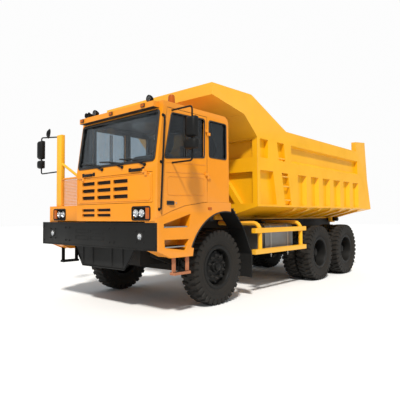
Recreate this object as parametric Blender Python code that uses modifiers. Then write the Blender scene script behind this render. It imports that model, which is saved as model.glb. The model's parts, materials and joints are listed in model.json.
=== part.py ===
"""Six-wheeled mining dump truck: frame, running gear, cab, service platform and tipping body.

Metres, +Z up. The truck faces -Y and its left side is +X. Lengths along Y are measured from the
front axle; one empty then moves the whole truck so that its box is centred on the origin.
"""

import math

import bmesh
import bpy
from mathutils import Matrix, Vector

# ---- Clearances -------------------------------------------------------------
SEAT_GAP = 0.0003  # between pieces that touch
RUN_GAP = 0.006  # between a moving piece and what it passes

# ---- Running gear -----------------------------------------------------------
TYRE_RADIUS = 0.635
TYRE_WIDTH = 0.33
BEAD_RADIUS = 0.322
FLANGE_RADIUS = 0.366
FLANGE_WIDTH = 0.015
RIM_WALL = 0.022
WHEEL_SIDES = 16
FRONT_WHEEL_X = 1.255
REAR_WHEEL_X = 1.29
DUAL_SPACING = 0.365
WHEELBASE = 3.75
TANDEM_CLEARANCE = 0.23
KINGPIN_X = 1.0
KINGPIN_RADIUS = 0.03
SPINDLE_RADIUS = 0.045
REAR_TUBE_RADIUS = 0.10
STEERING_ARM = 0.28
TIE_ROD_RADIUS = 0.022

# ---- Frame ------------------------------------------------------------------
FRAME_OVER_AXLE = 0.785
RAIL_HEIGHT = 0.34
RAIL_WIDTH = 0.10
RAIL_OUTER_X = 0.46
FRAME_FRONT = -1.40
TIP_PIVOT_Y = 6.40
TIP_PIVOT_DROP = 0.02
TRUNNION_RADIUS = 0.06
TRUNNION_X = 0.72

# ---- Cab --------------------------------------------------------------------
CAB_LEFT = 1.56
CAB_RIGHT = -0.45
CAB_FRONT = -1.57
CAB_REAR = 0.09
CAB_WALL = 0.05
CAB_FLOOR_RISE = 0.302
CAB_HEIGHT = 1.458
SCREEN_LEAN = 0.12
VISOR_DEPTH = 0.12
VISOR_HEIGHT = 0.085
VISOR_INSET = 0.08
DOOR_REAR = -0.476
DOOR_RIGHT_FRONT = -1.28
PANE = 0.006

# ---- Front end --------------------------------------------------------------
BUMPER_HALF = 1.56
BUMPER_PROUD = 0.025
BUMPER_HEIGHT = 0.403
ARCH_CLEARANCE = 0.305
FENDER_DEPTH = 0.27
STEP_DEPTH = 0.20
DECK_RISE = 0.28
DECK_THICK = 0.05
PLATFORM_FRONT = -1.44

# ---- Tipping body -----------------------------------------------------------
BODY_HALF = 1.52
BODY_WALL = 0.12
RECESS = 0.085
BODY_FRONT = 1.03
BODY_REAR = 6.84
BODY_HEEL = 6.35
FLOOR_RISE = 0.08
FLOOR_THICK = 0.06
SIDE_FOOT_RISE = 0.26
FLAT_FLOOR_HALF = 0.85
CANOPY_FRONT = -0.206
CANOPY_HALF = 1.44
RIB_PITCH = 0.595

# ---- Hoist ------------------------------------------------------------------
HOIST_Y = 0.70
HOIST_HALF_SPAN = 0.45  # its pins lie this far above and below the tipping pivot
HOIST_TOP_RISE = 1.51
HOIST_RADIUS = 0.125
HOIST_WALL = 0.016
HOIST_SIDES = 12
HOIST_PIN_RADIUS = 0.032
HOIST_SLOT = 0.064  # room at the rod's eye, because its stages move in proportion to the tilt
STAGE_GAP = 0.004  # between one stage of the hoist and the next
ROD_RADIUS = HOIST_RADIUS - 3 * (HOIST_WALL + STAGE_GAP)
FOOT_EAR_X = ROD_RADIUS + 0.005
TRUNNION_EAR = (HOIST_RADIUS + 0.025, HOIST_RADIUS + 0.065)

# ---- Derived levels and stations --------------------------------------------
AXLE_HEIGHT = TYRE_RADIUS
FRAME_TOP = AXLE_HEIGHT + FRAME_OVER_AXLE
FRAME_BOTTOM = FRAME_TOP - RAIL_HEIGHT
RAIL_INNER_X = RAIL_OUTER_X - RAIL_WIDTH
TANDEM = 2 * TYRE_RADIUS + TANDEM_CLEARANCE
REAR_AXLES = (WHEELBASE, WHEELBASE + TANDEM)
TWIN_CENTRE_X = REAR_WHEEL_X - DUAL_SPACING / 2
CAB_FLOOR = FRAME_TOP + CAB_FLOOR_RISE
ROOF = CAB_FLOOR + CAB_HEIGHT
SCREEN_FOOT = ROOF - 0.93
SCREEN_HEAD = ROOF - 0.105
DECK = FRAME_TOP + DECK_RISE
ARCH_RADIUS = TYRE_RADIUS + ARCH_CLEARANCE
BUMPER_TOP = FRAME_TOP - 0.011
FLOOR_UNDER = FRAME_TOP + FLOOR_RISE
SIDE_FOOT = FRAME_TOP + SIDE_FOOT_RISE
MID_BAND = (FRAME_TOP + 0.95, FRAME_TOP + 1.19)
TOP_BAND = FRAME_TOP + 1.55
TOP_RAIL = FRAME_TOP + 1.815
POST_TOP = FRAME_TOP + 2.13
CANOPY_TOP = FRAME_TOP + 2.335
BODY_INNER = BODY_HALF - BODY_WALL
TIP_PIVOT = Vector((0, TIP_PIVOT_Y, FRAME_TOP - TIP_PIVOT_DROP))
GATE_PIVOT = Vector((0, BODY_REAR - 0.606, FRAME_TOP + 2.005))
HOIST_FOOT = Vector((0, HOIST_Y, TIP_PIVOT.z - HOIST_HALF_SPAN))
HOIST_HEAD = Vector((0, HOIST_Y, TIP_PIVOT.z + HOIST_HALF_SPAN))
VISOR_FRONT = CAB_FRONT + SCREEN_LEAN - VISOR_DEPTH
CENTRE_Y = (min(VISOR_FRONT, CAB_FRONT - BUMPER_PROUD) + BODY_REAR) / 2


# ---- Scene, materials and collections ---------------------------------------
for old in list(bpy.data.objects):
    bpy.data.objects.remove(old, do_unlink=True)

truck = bpy.data.collections.new("mining_dump_truck")
cutters = bpy.data.collections.new("cutters")
for group in (truck, cutters):
    bpy.context.scene.collection.children.link(group)
cutters.hide_render = True

origin = bpy.data.objects.new("truck_origin", None)
origin.location = (0, -CENTRE_Y, 0)
truck.objects.link(origin)


def finish(name, colour, roughness, metallic=0.0):
    """A Principled material."""
    made = bpy.data.materials.new(name)
    made.use_nodes = True
    shader = made.node_tree.nodes["Principled BSDF"]
    shader.inputs["Base Color"].default_value = (*colour, 1)
    shader.inputs["Roughness"].default_value = roughness
    shader.inputs["Metallic"].default_value = metallic
    made.diffuse_color = (*colour, 1)
    return made


ORANGE = finish("cab_paint", (0.85, 0.36, 0.01), 0.35)
YELLOW = finish("body_paint", (0.88, 0.47, 0.01), 0.40)
BLACK = finish("black_paint", (0.012, 0.013, 0.012), 0.45)
CHASSIS = finish("chassis_paint", (0.02, 0.02, 0.02), 0.6)
RUBBER = finish("tyre_rubber", (0.03, 0.028, 0.025), 0.85)
ALUMINIUM = finish("tank_aluminium", (0.42, 0.43, 0.43), 0.35, 0.9)
STEEL = finish("rod_chrome", (0.6, 0.6, 0.6), 0.15, 1.0)
GLASS = finish("tinted_glass", (0.06, 0.09, 0.11), 0.05)
PLASTIC = finish("dark_plastic", (0.03, 0.032, 0.035), 0.5)
CLOTH = finish("seat_cloth", (0.08, 0.085, 0.09), 0.9)


# ---- Modelling helpers ------------------------------------------------------
def place(name, mesh, matrix, mat, group=truck):
    """An object on the truck's own frame."""
    obj = bpy.data.objects.new(name, mesh)
    group.objects.link(obj)
    obj.parent = origin
    obj.matrix_basis = matrix
    mesh.materials.clear()
    mesh.materials.append(mat)
    return obj


def box(name, low, high, mat=BLACK):
    """A block between two corners."""
    low, high = Vector(low), Vector(high)
    shape = bmesh.new()
    bmesh.ops.create_cube(shape, size=1, matrix=Matrix.Diagonal((*(high - low), 1)))
    mesh = bpy.data.meshes.new(name)
    shape.to_mesh(mesh)
    shape.free()
    return place(name, mesh, Matrix.Translation((low + high) / 2), mat)


AXES = {
    "X": Matrix(((0, 0, 1), (1, 0, 0), (0, 1, 0))),
    "Y": Matrix(((1, 0, 0), (0, 0, -1), (0, 1, 0))),
    "Z": Matrix.Identity(3),
}


def mesh_of_curve(name, curve, matrix, mat):
    """A curve made into one closed mesh, with its caps welded on."""
    drawn = bpy.data.objects.new(name + "_drawn", curve)
    truck.objects.link(drawn)
    graph = bpy.context.evaluated_depsgraph_get()
    mesh = bpy.data.meshes.new_from_object(drawn.evaluated_get(graph))
    bpy.data.objects.remove(drawn, do_unlink=True)
    shape = bmesh.new()
    shape.from_mesh(mesh)
    bmesh.ops.remove_doubles(shape, verts=shape.verts, dist=1e-5)
    bmesh.ops.recalc_face_normals(shape, faces=shape.faces)
    shape.to_mesh(mesh)
    shape.free()
    mesh.name = name
    return place(name, mesh, matrix, mat)


def prism(name, axis, outline, low, high, mat=BLACK):
    """A flat outline swept along X (outline in Y, Z), Y (in X, Z) or Z (in X, Y)."""
    curve = bpy.data.curves.new(name, "CURVE")
    curve.dimensions = "2D"
    curve.fill_mode = "BOTH"
    curve.extrude = (high - low) / 2
    spline = curve.splines.new("POLY")
    spline.points.add(len(outline) - 1)
    for point, (across, along) in zip(spline.points, outline):
        point.co = (across, along, 0, 1)
    spline.use_cyclic_u = True
    middle = Vector()
    middle["XYZ".index(axis)] = (low + high) / 2
    return mesh_of_curve(name, curve, Matrix.Translation(middle) @ AXES[axis].to_4x4(), mat)


def turned(name, profile, centre, direction, mat=BLACK, sides=WHEEL_SIDES):
    """A profile of (radius, height) points turned about an axis, with a flat side downwards."""
    closed = profile[0][0] > 0
    loop = profile + profile[:1] if closed else profile
    area = sum(a[0] * b[1] - b[0] * a[1] for a, b in zip(loop, loop[1:]))
    if area > 0:
        profile = profile[::-1]
    mesh = bpy.data.meshes.new(name)
    edges = [(i, i + 1) for i in range(len(profile) - 1)]
    if closed:
        edges.append((len(profile) - 1, 0))
    mesh.from_pydata([(radius, 0, height) for radius, height in profile], edges, [])
    axis = Vector(direction).normalized()
    level = axis.cross(Vector((0, 0, 1)))
    if level.length < 0.01:
        level = Vector((0, 1, 0))
    down = level.normalized().cross(axis)
    half_step = math.pi / sides
    first = Matrix.Rotation(half_step, 3, axis) @ down
    basis = Matrix((first, axis.cross(first), axis)).transposed()
    obj = place(name, mesh, Matrix.Translation(centre) @ basis.to_4x4(), mat)
    screw = obj.modifiers.new("turn", "SCREW")
    screw.axis = "Z"
    screw.angle = 2 * math.pi
    screw.steps = screw.render_steps = sides
    screw.use_merge_vertices = True
    screw.merge_threshold = 1e-5
    mesh.shade_smooth()
    return obj


def bar(name, start, end, radius, mat=BLACK, sides=12):
    """A round bar from one point to another."""
    start, end = Vector(start), Vector(end)
    length = (end - start).length
    profile = [(0, length), (radius, length), (radius, 0), (0, 0)]
    return turned(name, profile, start, end - start, mat, sides)


def rounded(points, bend, steps=4):
    """The points of a bent tube, with each corner rounded to a bend radius."""
    points = [Vector(point) for point in points]
    path = [points[0]]
    for before, corner, after in zip(points, points[1:], points[2:]):
        back, ahead = (before - corner).normalized(), (after - corner).normalized()
        turn = math.pi - back.angle(ahead)
        reach = bend * math.tan(turn / 2)
        centre = corner + (back + ahead).normalized() * bend / math.cos(turn / 2)
        start = corner + back * reach - centre
        axis = back.cross(ahead).normalized()
        for step in range(steps + 1):
            path.append(centre + Matrix.Rotation(-turn * step / steps, 3, axis) @ start)
    return path + [points[-1]]


def tube(name, path, radius, mat=BLACK, resolution=1):
    """A round tube along a path, with closed ends."""
    curve = bpy.data.curves.new(name, "CURVE")
    curve.dimensions = "3D"
    curve.bevel_depth = radius
    curve.bevel_resolution = resolution
    curve.use_fill_caps = True
    spline = curve.splines.new("POLY")
    spline.points.add(len(path) - 1)
    for point, place_at in zip(spline.points, path):
        point.co = (*place_at, 1)
    return mesh_of_curve(name, curve, Matrix.Identity(4), mat)


def helper(obj):
    """Moves a shape among the cutters, which aren't parts."""
    truck.objects.unlink(obj)
    cutters.objects.link(obj)
    obj.hide_render = True
    obj.display_type = "WIRE"
    return obj


# The exact solver leaves open edges on these, whose small pieces share many planes.
MANY_SHARED_PLANES = ("front_axle", "cab_shell", "dashboard", "fender_left", "fender_right")


def combine(target, others, operation):
    """Adds a Boolean for each of the other shapes."""
    for other in others:
        boolean = target.modifiers.new(other.name, "BOOLEAN")
        boolean.operation = operation
        if target.name in MANY_SHARED_PLANES:
            boolean.solver = "MANIFOLD"
        boolean.object = helper(other)
    return target


def join(target, *others):
    return combine(target, others, "UNION")


def cut(target, *others):
    return combine(target, others, "DIFFERENCE")


def common(target, *others):
    return combine(target, others, "INTERSECT")


def pivot(obj, point):
    """Puts the object's origin on its joint's axis."""
    shift = obj.matrix_basis.inverted() @ Vector(point)
    obj.data.transform(Matrix.Translation(-shift))
    obj.matrix_basis = obj.matrix_basis @ Matrix.Translation(shift)
    return obj


def bore(pin_radius, sides):
    """The radius of a faceted hole in which a faceted pin turns freely."""
    return pin_radius / math.cos(math.pi / sides) + 0.0002


def sides_of(name):
    """(side name, +1 or -1) pairs: the left side is +X."""
    return ((f"{name}_left", 1), (f"{name}_right", -1))


def span(sign, near, far):
    """Two X values on one side of the truck, lowest first."""
    return sorted((sign * near, sign * far))


# ---- Wheels -----------------------------------------------------------------
TREAD_RADIUS = TYRE_RADIUS / math.cos(math.pi / WHEEL_SIDES)
BEAD_HALF = TYRE_WIDTH / 2 - 0.04
FLANGE_INNER = BEAD_HALF + SEAT_GAP
FLANGE_OUTER = FLANGE_INNER + FLANGE_WIDTH
SEAT_RADIUS = BEAD_RADIUS - SEAT_GAP
BARREL_INNER = SEAT_RADIUS - RIM_WALL


def tyre(name, x, y):
    """A solid tyre with a flat tread, rounded shoulders and full side walls."""
    half = TYRE_WIDTH / 2
    side = [
        (TREAD_RADIUS, half - 0.022),
        (TREAD_RADIUS - 0.04, half - 0.004),
        (TREAD_RADIUS - 0.12, half),
        (FLANGE_RADIUS + 0.012, BEAD_HALF + 0.01),
        (FLANGE_RADIUS + 0.004, BEAD_HALF),
        (BEAD_RADIUS, BEAD_HALF),
    ]
    other = [(radius, -height) for radius, height in reversed(side)]
    return turned(name, side + other, (x, y, AXLE_HEIGHT), (1, 0, 0), RUBBER)


def flange(height, outward):
    """One rim flange, from the bead seat over its edge to the other face."""
    edge = height + outward * FLANGE_WIDTH
    return [(SEAT_RADIUS, height), (FLANGE_RADIUS, height), (FLANGE_RADIUS, edge)]


def front_wheel(name, sign):
    """A steered wheel: rim, convex disc, hub with its cap, and brake drum."""
    bore_radius = bore(SPINDLE_RADIUS, WHEEL_SIDES)
    inner = [(BARREL_INNER, -FLANGE_OUTER), (BARREL_INNER, 0.04), (0.25, 0.05)]
    profile = [(0, 0.15), (0.075, 0.145), (0.10, 0.10), (0.115, 0.075), (0.25, 0.075)]
    profile += [(BARREL_INNER, 0.09), (BARREL_INNER, FLANGE_OUTER)]
    profile += flange(FLANGE_INNER, 1)[::-1] + flange(-FLANGE_INNER, -1)
    profile += inner + [(0.25, -0.10), (bore_radius, -0.10), (bore_radius, 0.05), (0, 0.05)]
    centre = (sign * FRONT_WHEEL_X, 0, AXLE_HEIGHT)
    return turned(name, profile, centre, (sign, 0, 0), BLACK)


def twin_wheel(name, sign, y):
    """Two deep rims bolted face to face on one hub, with the brake drum inside."""
    bore_radius = bore(REAR_TUBE_RADIUS, WHEEL_SIDES)
    shift = DUAL_SPACING / 2
    near, far = shift - FLANGE_OUTER, shift + FLANGE_OUTER
    profile = [(0, 0.23), (0.09, 0.22), (0.12, 0.16), (0.14, 0.03), (0.25, 0.02)]
    profile += [(BARREL_INNER, 0.05), (BARREL_INNER, far)]
    profile += flange(shift + FLANGE_INNER, 1)[::-1] + flange(shift - FLANGE_INNER, -1)
    profile += [(SEAT_RADIUS + 0.01, near), (SEAT_RADIUS + 0.01, -near)]
    profile += flange(FLANGE_INNER - shift, 1)[::-1] + flange(-shift - FLANGE_INNER, -1)
    profile += [(BARREL_INNER, -far), (BARREL_INNER, -0.03), (0.24, -0.02), (0.24, -0.29)]
    profile += [(bore_radius, -0.29), (bore_radius, 0.05), (0, 0.05)]
    centre = (sign * TWIN_CENTRE_X, y, AXLE_HEIGHT)
    return turned(name, profile, centre, (sign, 0, 0), BLACK)


for side, sign in sides_of("front_tyre"):
    tyre(side, sign * FRONT_WHEEL_X, 0)
for side, sign in sides_of("front_rim"):
    front_wheel(side, sign)
for station, y in zip(("mid", "rear"), REAR_AXLES):
    for side, sign in sides_of(f"{station}_outer_tyre"):
        tyre(side, sign * REAR_WHEEL_X, y)
    for side, sign in sides_of(f"{station}_inner_tyre"):
        tyre(side, sign * (REAR_WHEEL_X - DUAL_SPACING), y)
    for side, sign in sides_of(f"{station}_twin_rim"):
        twin_wheel(side, sign, y)


# ---- Front axle, springs, knuckles and tie rod --------------------------------
BEAM_HALF_DEPTH = 0.06
SPRING_X = (RAIL_OUTER_X + 0.01, RAIL_OUTER_X + 0.10)
SPRING_SEAT = AXLE_HEIGHT + 0.01
SPRING_REACH = 0.72
FORK_INNER = 0.10  # half height of the axle's end, between the fork's plates
PLATE = 0.04


def front_axle():
    """A dropped beam with kingpin bosses, carrying its two leaf springs."""
    beam = prism(
        "front_axle",
        "Y",
        [
            (-KINGPIN_X, AXLE_HEIGHT - 0.075),
            (-0.80, AXLE_HEIGHT - 0.075),
            (-0.68, AXLE_HEIGHT - 0.13),
            (0.68, AXLE_HEIGHT - 0.13),
            (0.80, AXLE_HEIGHT - 0.075),
            (KINGPIN_X, AXLE_HEIGHT - 0.075),
            (KINGPIN_X, AXLE_HEIGHT + 0.075),
            (0.85, AXLE_HEIGHT + 0.075),
            (0.68, AXLE_HEIGHT - 0.02),
            (-0.68, AXLE_HEIGHT - 0.02),
            (-0.85, AXLE_HEIGHT + 0.075),
            (-KINGPIN_X, AXLE_HEIGHT + 0.075),
        ],
        -BEAM_HALF_DEPTH,
        BEAM_HALF_DEPTH,
        CHASSIS,
    )
    leaf = [
        (-0.16, SPRING_SEAT - 0.04),
        (0.16, SPRING_SEAT - 0.04),
        (SPRING_REACH, FRAME_BOTTOM - 0.27),
        (SPRING_REACH, FRAME_BOTTOM - 0.20 - SEAT_GAP),
        (SPRING_REACH - 0.12, FRAME_BOTTOM - 0.20 - SEAT_GAP),
        (0.16, SPRING_SEAT + 0.10),
        (-0.16, SPRING_SEAT + 0.10),
        (-SPRING_REACH + 0.12, FRAME_BOTTOM - 0.20 - SEAT_GAP),
        (-SPRING_REACH, FRAME_BOTTOM - 0.20 - SEAT_GAP),
        (-SPRING_REACH, FRAME_BOTTOM - 0.27),
    ]
    for side, sign in sides_of("front_spring"):
        join(beam, prism(side, "X", leaf, *span(sign, *SPRING_X)))
    for side, sign in sides_of("kingpin_boss"):
        foot = Vector((sign * KINGPIN_X, 0, AXLE_HEIGHT - FORK_INNER + RUN_GAP))
        head = Vector((sign * KINGPIN_X, 0, AXLE_HEIGHT + FORK_INNER - RUN_GAP))
        join(beam, bar(side, foot, head, 0.065))
        rise = Vector((0, 0, 0.05))
        hole = bar(side + "_bore", foot - rise, head + rise, bore(KINGPIN_RADIUS, 12))
        cut(beam, hole)
    return beam


def knuckle(name, sign):
    """A fork about the kingpin, with the wheel's spindle and the steering arm."""
    web = span(sign, KINGPIN_X + 0.08, KINGPIN_X + 0.12)
    height = FORK_INNER + PLATE
    fork = box(
        name,
        (web[0], -0.07, AXLE_HEIGHT - height),
        (web[1], 0.07, AXLE_HEIGHT + height),
        CHASSIS,
    )
    for label, level in (("upper", AXLE_HEIGHT + FORK_INNER), ("lower", AXLE_HEIGHT - height)):
        reach = span(sign, KINGPIN_X, KINGPIN_X + 0.10)
        plate = box(f"{name}_{label}", (reach[0], -0.06, level), (reach[1], 0.06, level + PLATE))
        foot = Vector((sign * KINGPIN_X, 0, level))
        join(fork, plate, bar(f"{name}_{label}_end", foot, foot + Vector((0, 0, PLATE)), 0.06))
    pin_foot = Vector((sign * KINGPIN_X, 0, AXLE_HEIGHT - height + 0.01))
    pin_head = Vector((sign * KINGPIN_X, 0, AXLE_HEIGHT + height - 0.01))
    join(fork, bar(name + "_pin", pin_foot, pin_head, KINGPIN_RADIUS))
    root = Vector((sign * (KINGPIN_X + 0.10), 0, AXLE_HEIGHT))
    tip = Vector((sign * (FRONT_WHEEL_X + 0.03), 0, AXLE_HEIGHT))
    join(fork, bar(name + "_spindle", root, tip, SPINDLE_RADIUS, sides=WHEEL_SIDES))
    low = AXLE_HEIGHT - height
    arm = box(
        name + "_arm",
        (sign * KINGPIN_X - 0.03, 0.02, low),
        (sign * KINGPIN_X + 0.03, STEERING_ARM + 0.035, low + PLATE),
    )
    join(fork, arm)
    stud = Vector((sign * KINGPIN_X, STEERING_ARM, low - 0.02))
    eye = bar(name + "_eye", stud, stud + Vector((0, 0, 0.1)), bore(TIE_ROD_RADIUS / 2, 12))
    cut(fork, eye)
    return pivot(fork, (sign * KINGPIN_X, 0, AXLE_HEIGHT))


def tie_rod():
    """The rod between the two steering arms, with a stud up into each."""
    level = AXLE_HEIGHT - FORK_INNER - PLATE - TIE_ROD_RADIUS - RUN_GAP
    reach = KINGPIN_X + 0.03
    rod = bar(
        "tie_rod",
        (-reach, STEERING_ARM, level),
        (reach, STEERING_ARM, level),
        TIE_ROD_RADIUS,
        CHASSIS,
    )
    for side, sign in sides_of("tie_rod_stud"):
        foot = Vector((sign * KINGPIN_X, STEERING_ARM, level))
        head = foot + Vector((0, 0, TIE_ROD_RADIUS + RUN_GAP + PLATE - 0.005))
        join(rod, bar(side, foot, head, TIE_ROD_RADIUS / 2))
    return pivot(rod, (KINGPIN_X, STEERING_ARM, level))


front_axle()
for side, sign in sides_of("steering_knuckle"):
    knuckle(side, sign)
tie_rod()


# ---- Rear axles, bogie springs and shafts -------------------------------------
BOGIE_Y = sum(REAR_AXLES) / 2
BOGIE_TOP = AXLE_HEIGHT + 0.30
DIFF_RADIUS = 0.23


def rear_axle(name, y, nose):
    """A drive axle: tube, differential housing and the pinion nose towards the front."""
    reach = TWIN_CENTRE_X + 0.03
    axle = bar(
        name,
        (-reach, y, AXLE_HEIGHT),
        (reach, y, AXLE_HEIGHT),
        REAR_TUBE_RADIUS,
        CHASSIS,
        WHEEL_SIDES,
    )
    bowl = [(0.10, 0.20), (DIFF_RADIUS, 0.07), (DIFF_RADIUS, -0.07), (0.10, -0.20)]
    bowl = [(0, 0.20)] + bowl + [(0, -0.20)]
    centre = (0, y, AXLE_HEIGHT)
    housing = turned(name + "_housing", bowl, centre, (1, 0, 0), sides=16)
    shaft = bar(name + "_nose", centre, (0, y - nose, AXLE_HEIGHT), 0.07)
    return join(axle, housing, shaft)


rear_axle("mid_axle", REAR_AXLES[0], 0.38)
rear_axle("rear_axle", REAR_AXLES[1], TANDEM - DIFF_RADIUS - 0.02)

spring_foot = AXLE_HEIGHT + REAR_TUBE_RADIUS * math.cos(math.pi / WHEEL_SIDES) + SEAT_GAP
bogie_leaf = [
    (REAR_AXLES[0] - 0.15, spring_foot),
    (REAR_AXLES[1] + 0.15, spring_foot),
    (REAR_AXLES[1] + 0.15, spring_foot + 0.055),
    (BOGIE_Y + 0.25, BOGIE_TOP),
    (BOGIE_Y - 0.25, BOGIE_TOP),
    (REAR_AXLES[0] - 0.15, spring_foot + 0.055),
]
bogie = bar(
    "bogie_springs",
    (-SPRING_X[1] + 0.02, BOGIE_Y, BOGIE_TOP - 0.09),
    (SPRING_X[1] - 0.02, BOGIE_Y, BOGIE_TOP - 0.09),
    0.055,
    CHASSIS,
)
for side, sign in sides_of("bogie_leaf"):
    join(bogie, prism(side, "X", bogie_leaf, *span(sign, *SPRING_X)))

ENGINE_FRONT = -0.85
ENGINE_REAR = HOIST_Y - HOIST_RADIUS - 0.10
ENGINE_HALF = RAIL_INNER_X - SEAT_GAP
box(
    "engine_block",
    (-ENGINE_HALF, ENGINE_FRONT, AXLE_HEIGHT + 0.025),
    (ENGINE_HALF, ENGINE_REAR, FRAME_TOP - 0.01),
    CHASSIS,
)

NOSE_LENGTH = 0.38
shaft_start = Vector((0, ENGINE_REAR + 0.002, AXLE_HEIGHT + 0.095))
shaft_end = Vector((0, REAR_AXLES[0] - NOSE_LENGTH - 0.002, AXLE_HEIGHT))
bar("propshaft", shaft_start, shaft_end, 0.05, CHASSIS)


# ---- Frame --------------------------------------------------------------------
FRAME_END = TIP_PIVOT_Y + 0.04
CAB_BEAMS = (-1.15, -0.05)
BEAM_HEIGHT = 0.08
GUARD_Y = (1.19, 2.78)
TANK = ((0.62, 1.60), (1.30, 2.70))
TANK_FOOT = AXLE_HEIGHT + 0.155
TANK_HEIGHT = 0.55


def chassis_frame():
    """Two rails, their cross members, the cab's beams, spring hangers and the tipping trunnion."""
    frame = box(
        "chassis_frame",
        (RAIL_INNER_X, FRAME_FRONT, FRAME_BOTTOM),
        (RAIL_OUTER_X, FRAME_END, FRAME_TOP),
        CHASSIS,
    )
    join(
        frame,
        box(
            "rail_right",
            (-RAIL_OUTER_X, FRAME_FRONT, FRAME_BOTTOM),
            (-RAIL_INNER_X, FRAME_END, FRAME_TOP),
        ),
    )
    inner = RAIL_INNER_X + 0.01
    for number, y in enumerate((FRAME_FRONT + 0.05, 1.25, 2.9, BOGIE_Y, FRAME_END - 0.25)):
        low, high = (-inner, y - 0.04, FRAME_BOTTOM + 0.03), (inner, y + 0.04, FRAME_TOP - 0.13)
        join(frame, box(f"cross_member_{number}", low, high))
    reach = Vector((TRUNNION_X, 0, 0))
    join(frame, bar("trunnion", TIP_PIVOT - reach, TIP_PIVOT + reach, TRUNNION_RADIUS, sides=HOIST_SIDES))
    reach = Vector((FOOT_EAR_X + 0.02, 0, 0))
    join(frame, bar("hoist_pin", HOIST_FOOT - reach, HOIST_FOOT + reach, HOIST_PIN_RADIUS, sides=HOIST_SIDES))
    for side, sign in sides_of("hoist_ear"):
        x = span(sign, FOOT_EAR_X, RAIL_INNER_X + 0.09)
        low, high = HOIST_FOOT - Vector((0, 0.07, 0.08)), HOIST_FOOT + Vector((0, 0.07, 0.07))
        join(frame, box(side, (x[0], low.y, low.z), (x[1], high.y, high.z)))
        x = span(sign, RAIL_INNER_X - 0.02, RAIL_INNER_X + 0.09)
        join(frame, box(side + "_post", (x[0], low.y, low.z + 0.02), (x[1], high.y, FRAME_BOTTOM + 0.04)))
    for number, y in enumerate(CAB_BEAMS):
        reach = BUMPER_HALF - FENDER_DEPTH - SEAT_GAP
        low, high = (-reach, y - 0.05, FRAME_TOP - 0.005), (reach, y + 0.05, FRAME_TOP + BEAM_HEIGHT)
        join(frame, box(f"cab_beam_{number}", low, high))
    post_foot = FRAME_TOP + BEAM_HEIGHT - 0.01
    posts = (
        ("cab_post_inner", 0.3, CAB_FLOOR),
        ("cab_post_outer", 1.15, CAB_FLOOR),
        ("deck_post", -1.0, DECK - DECK_THICK),
    )
    for name, x, top in posts:
        low = (x - 0.06, CAB_BEAMS[1] - 0.04, post_foot)
        join(frame, box(name, low, (x + 0.06, CAB_BEAMS[1] + 0.04, top - SEAT_GAP)))
    for side, sign in sides_of("hanger"):
        x = span(sign, RAIL_OUTER_X - 0.02, SPRING_X[1])
        for label, y in (("front", -SPRING_REACH + 0.06), ("back", SPRING_REACH - 0.06)):
            low = (x[0], y - 0.06, FRAME_BOTTOM - 0.20)
            join(frame, box(f"{side}_{label}", low, (x[1], y + 0.06, FRAME_BOTTOM + 0.12)))
        low = (x[0], BOGIE_Y - 0.15, BOGIE_TOP + SEAT_GAP)
        join(frame, box(f"{side}_bogie", low, (x[1], BOGIE_Y + 0.15, FRAME_BOTTOM + 0.12)))
        x = span(sign, RAIL_OUTER_X - 0.02, TANK[0][0] - SEAT_GAP)
        for label, y in (("tank_front", TANK[0][1] + 0.2), ("tank_back", TANK[1][1] - 0.2)):
            low = (x[0], y - 0.04, FRAME_BOTTOM - 0.05)
            join(frame, box(f"{side}_{label}", low, (x[1], y + 0.04, FRAME_BOTTOM + 0.15)))
    return frame


chassis_frame()


# ---- Tanks and side guards ----------------------------------------------------
def tank(name, sign, mat):
    """A tank with rounded edges, hung on the frame's brackets."""
    x = span(sign, TANK[0][0], TANK[1][0])
    obj = box(name, (x[0], TANK[0][1], TANK_FOOT), (x[1], TANK[1][1], TANK_FOOT + TANK_HEIGHT), mat)
    bevel = obj.modifiers.new("round", "BEVEL")
    bevel.width = 0.09
    bevel.segments = 3
    bevel.limit_method = "WEIGHT"
    weights = obj.data.attributes.new("bevel_weight_edge", "FLOAT", "EDGE")
    for edge in obj.data.edges:
        ends = [obj.data.vertices[index].co for index in edge.vertices]
        weights.data[edge.index].value = float(abs(ends[0].y - ends[1].y) > 0.5)
    return obj


tank("fuel_tank", 1, ALUMINIUM)
tank("hydraulic_tank", -1, CHASSIS)

GUARD_X = 1.45
GUARD_TUBE = 0.05
GUARD_TOP = FRAME_TOP + 0.01
GUARD_RAILS = (FRAME_TOP - 0.64, FRAME_TOP - 0.243)
GUARD_ENDS = (0.98, 2.96)
RAIL_SIDE = 0.092


def side_guard(name, sign):
    """Two long rails on two bent tubes that come out of the frame."""
    x = span(sign, GUARD_X - 0.045, GUARD_X + 0.045)
    guard = None
    for number, level in enumerate(GUARD_RAILS):
        label = name if number == 0 else name + "_upper"
        low, high = (x[0], GUARD_ENDS[0], level), (x[1], GUARD_ENDS[1], level + RAIL_SIDE)
        rail = box(label, low, high, YELLOW)
        guard = rail if guard is None else join(guard, rail)
    for label, y in zip(("front", "back"), GUARD_Y):
        root = (sign * (RAIL_OUTER_X + SEAT_GAP), y, GUARD_TOP - GUARD_TUBE - 0.02)
        corner = (sign * GUARD_X, y, root[2])
        foot = (sign * GUARD_X, y, GUARD_RAILS[0] + RAIL_SIDE / 2)
        path = rounded((root, corner, foot), 0.14)
        join(guard, tube(f"{name}_{label}", path, GUARD_TUBE - 0.006, resolution=2))
    return guard


for side, sign in sides_of("side_guard"):
    side_guard(side, sign)


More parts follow.
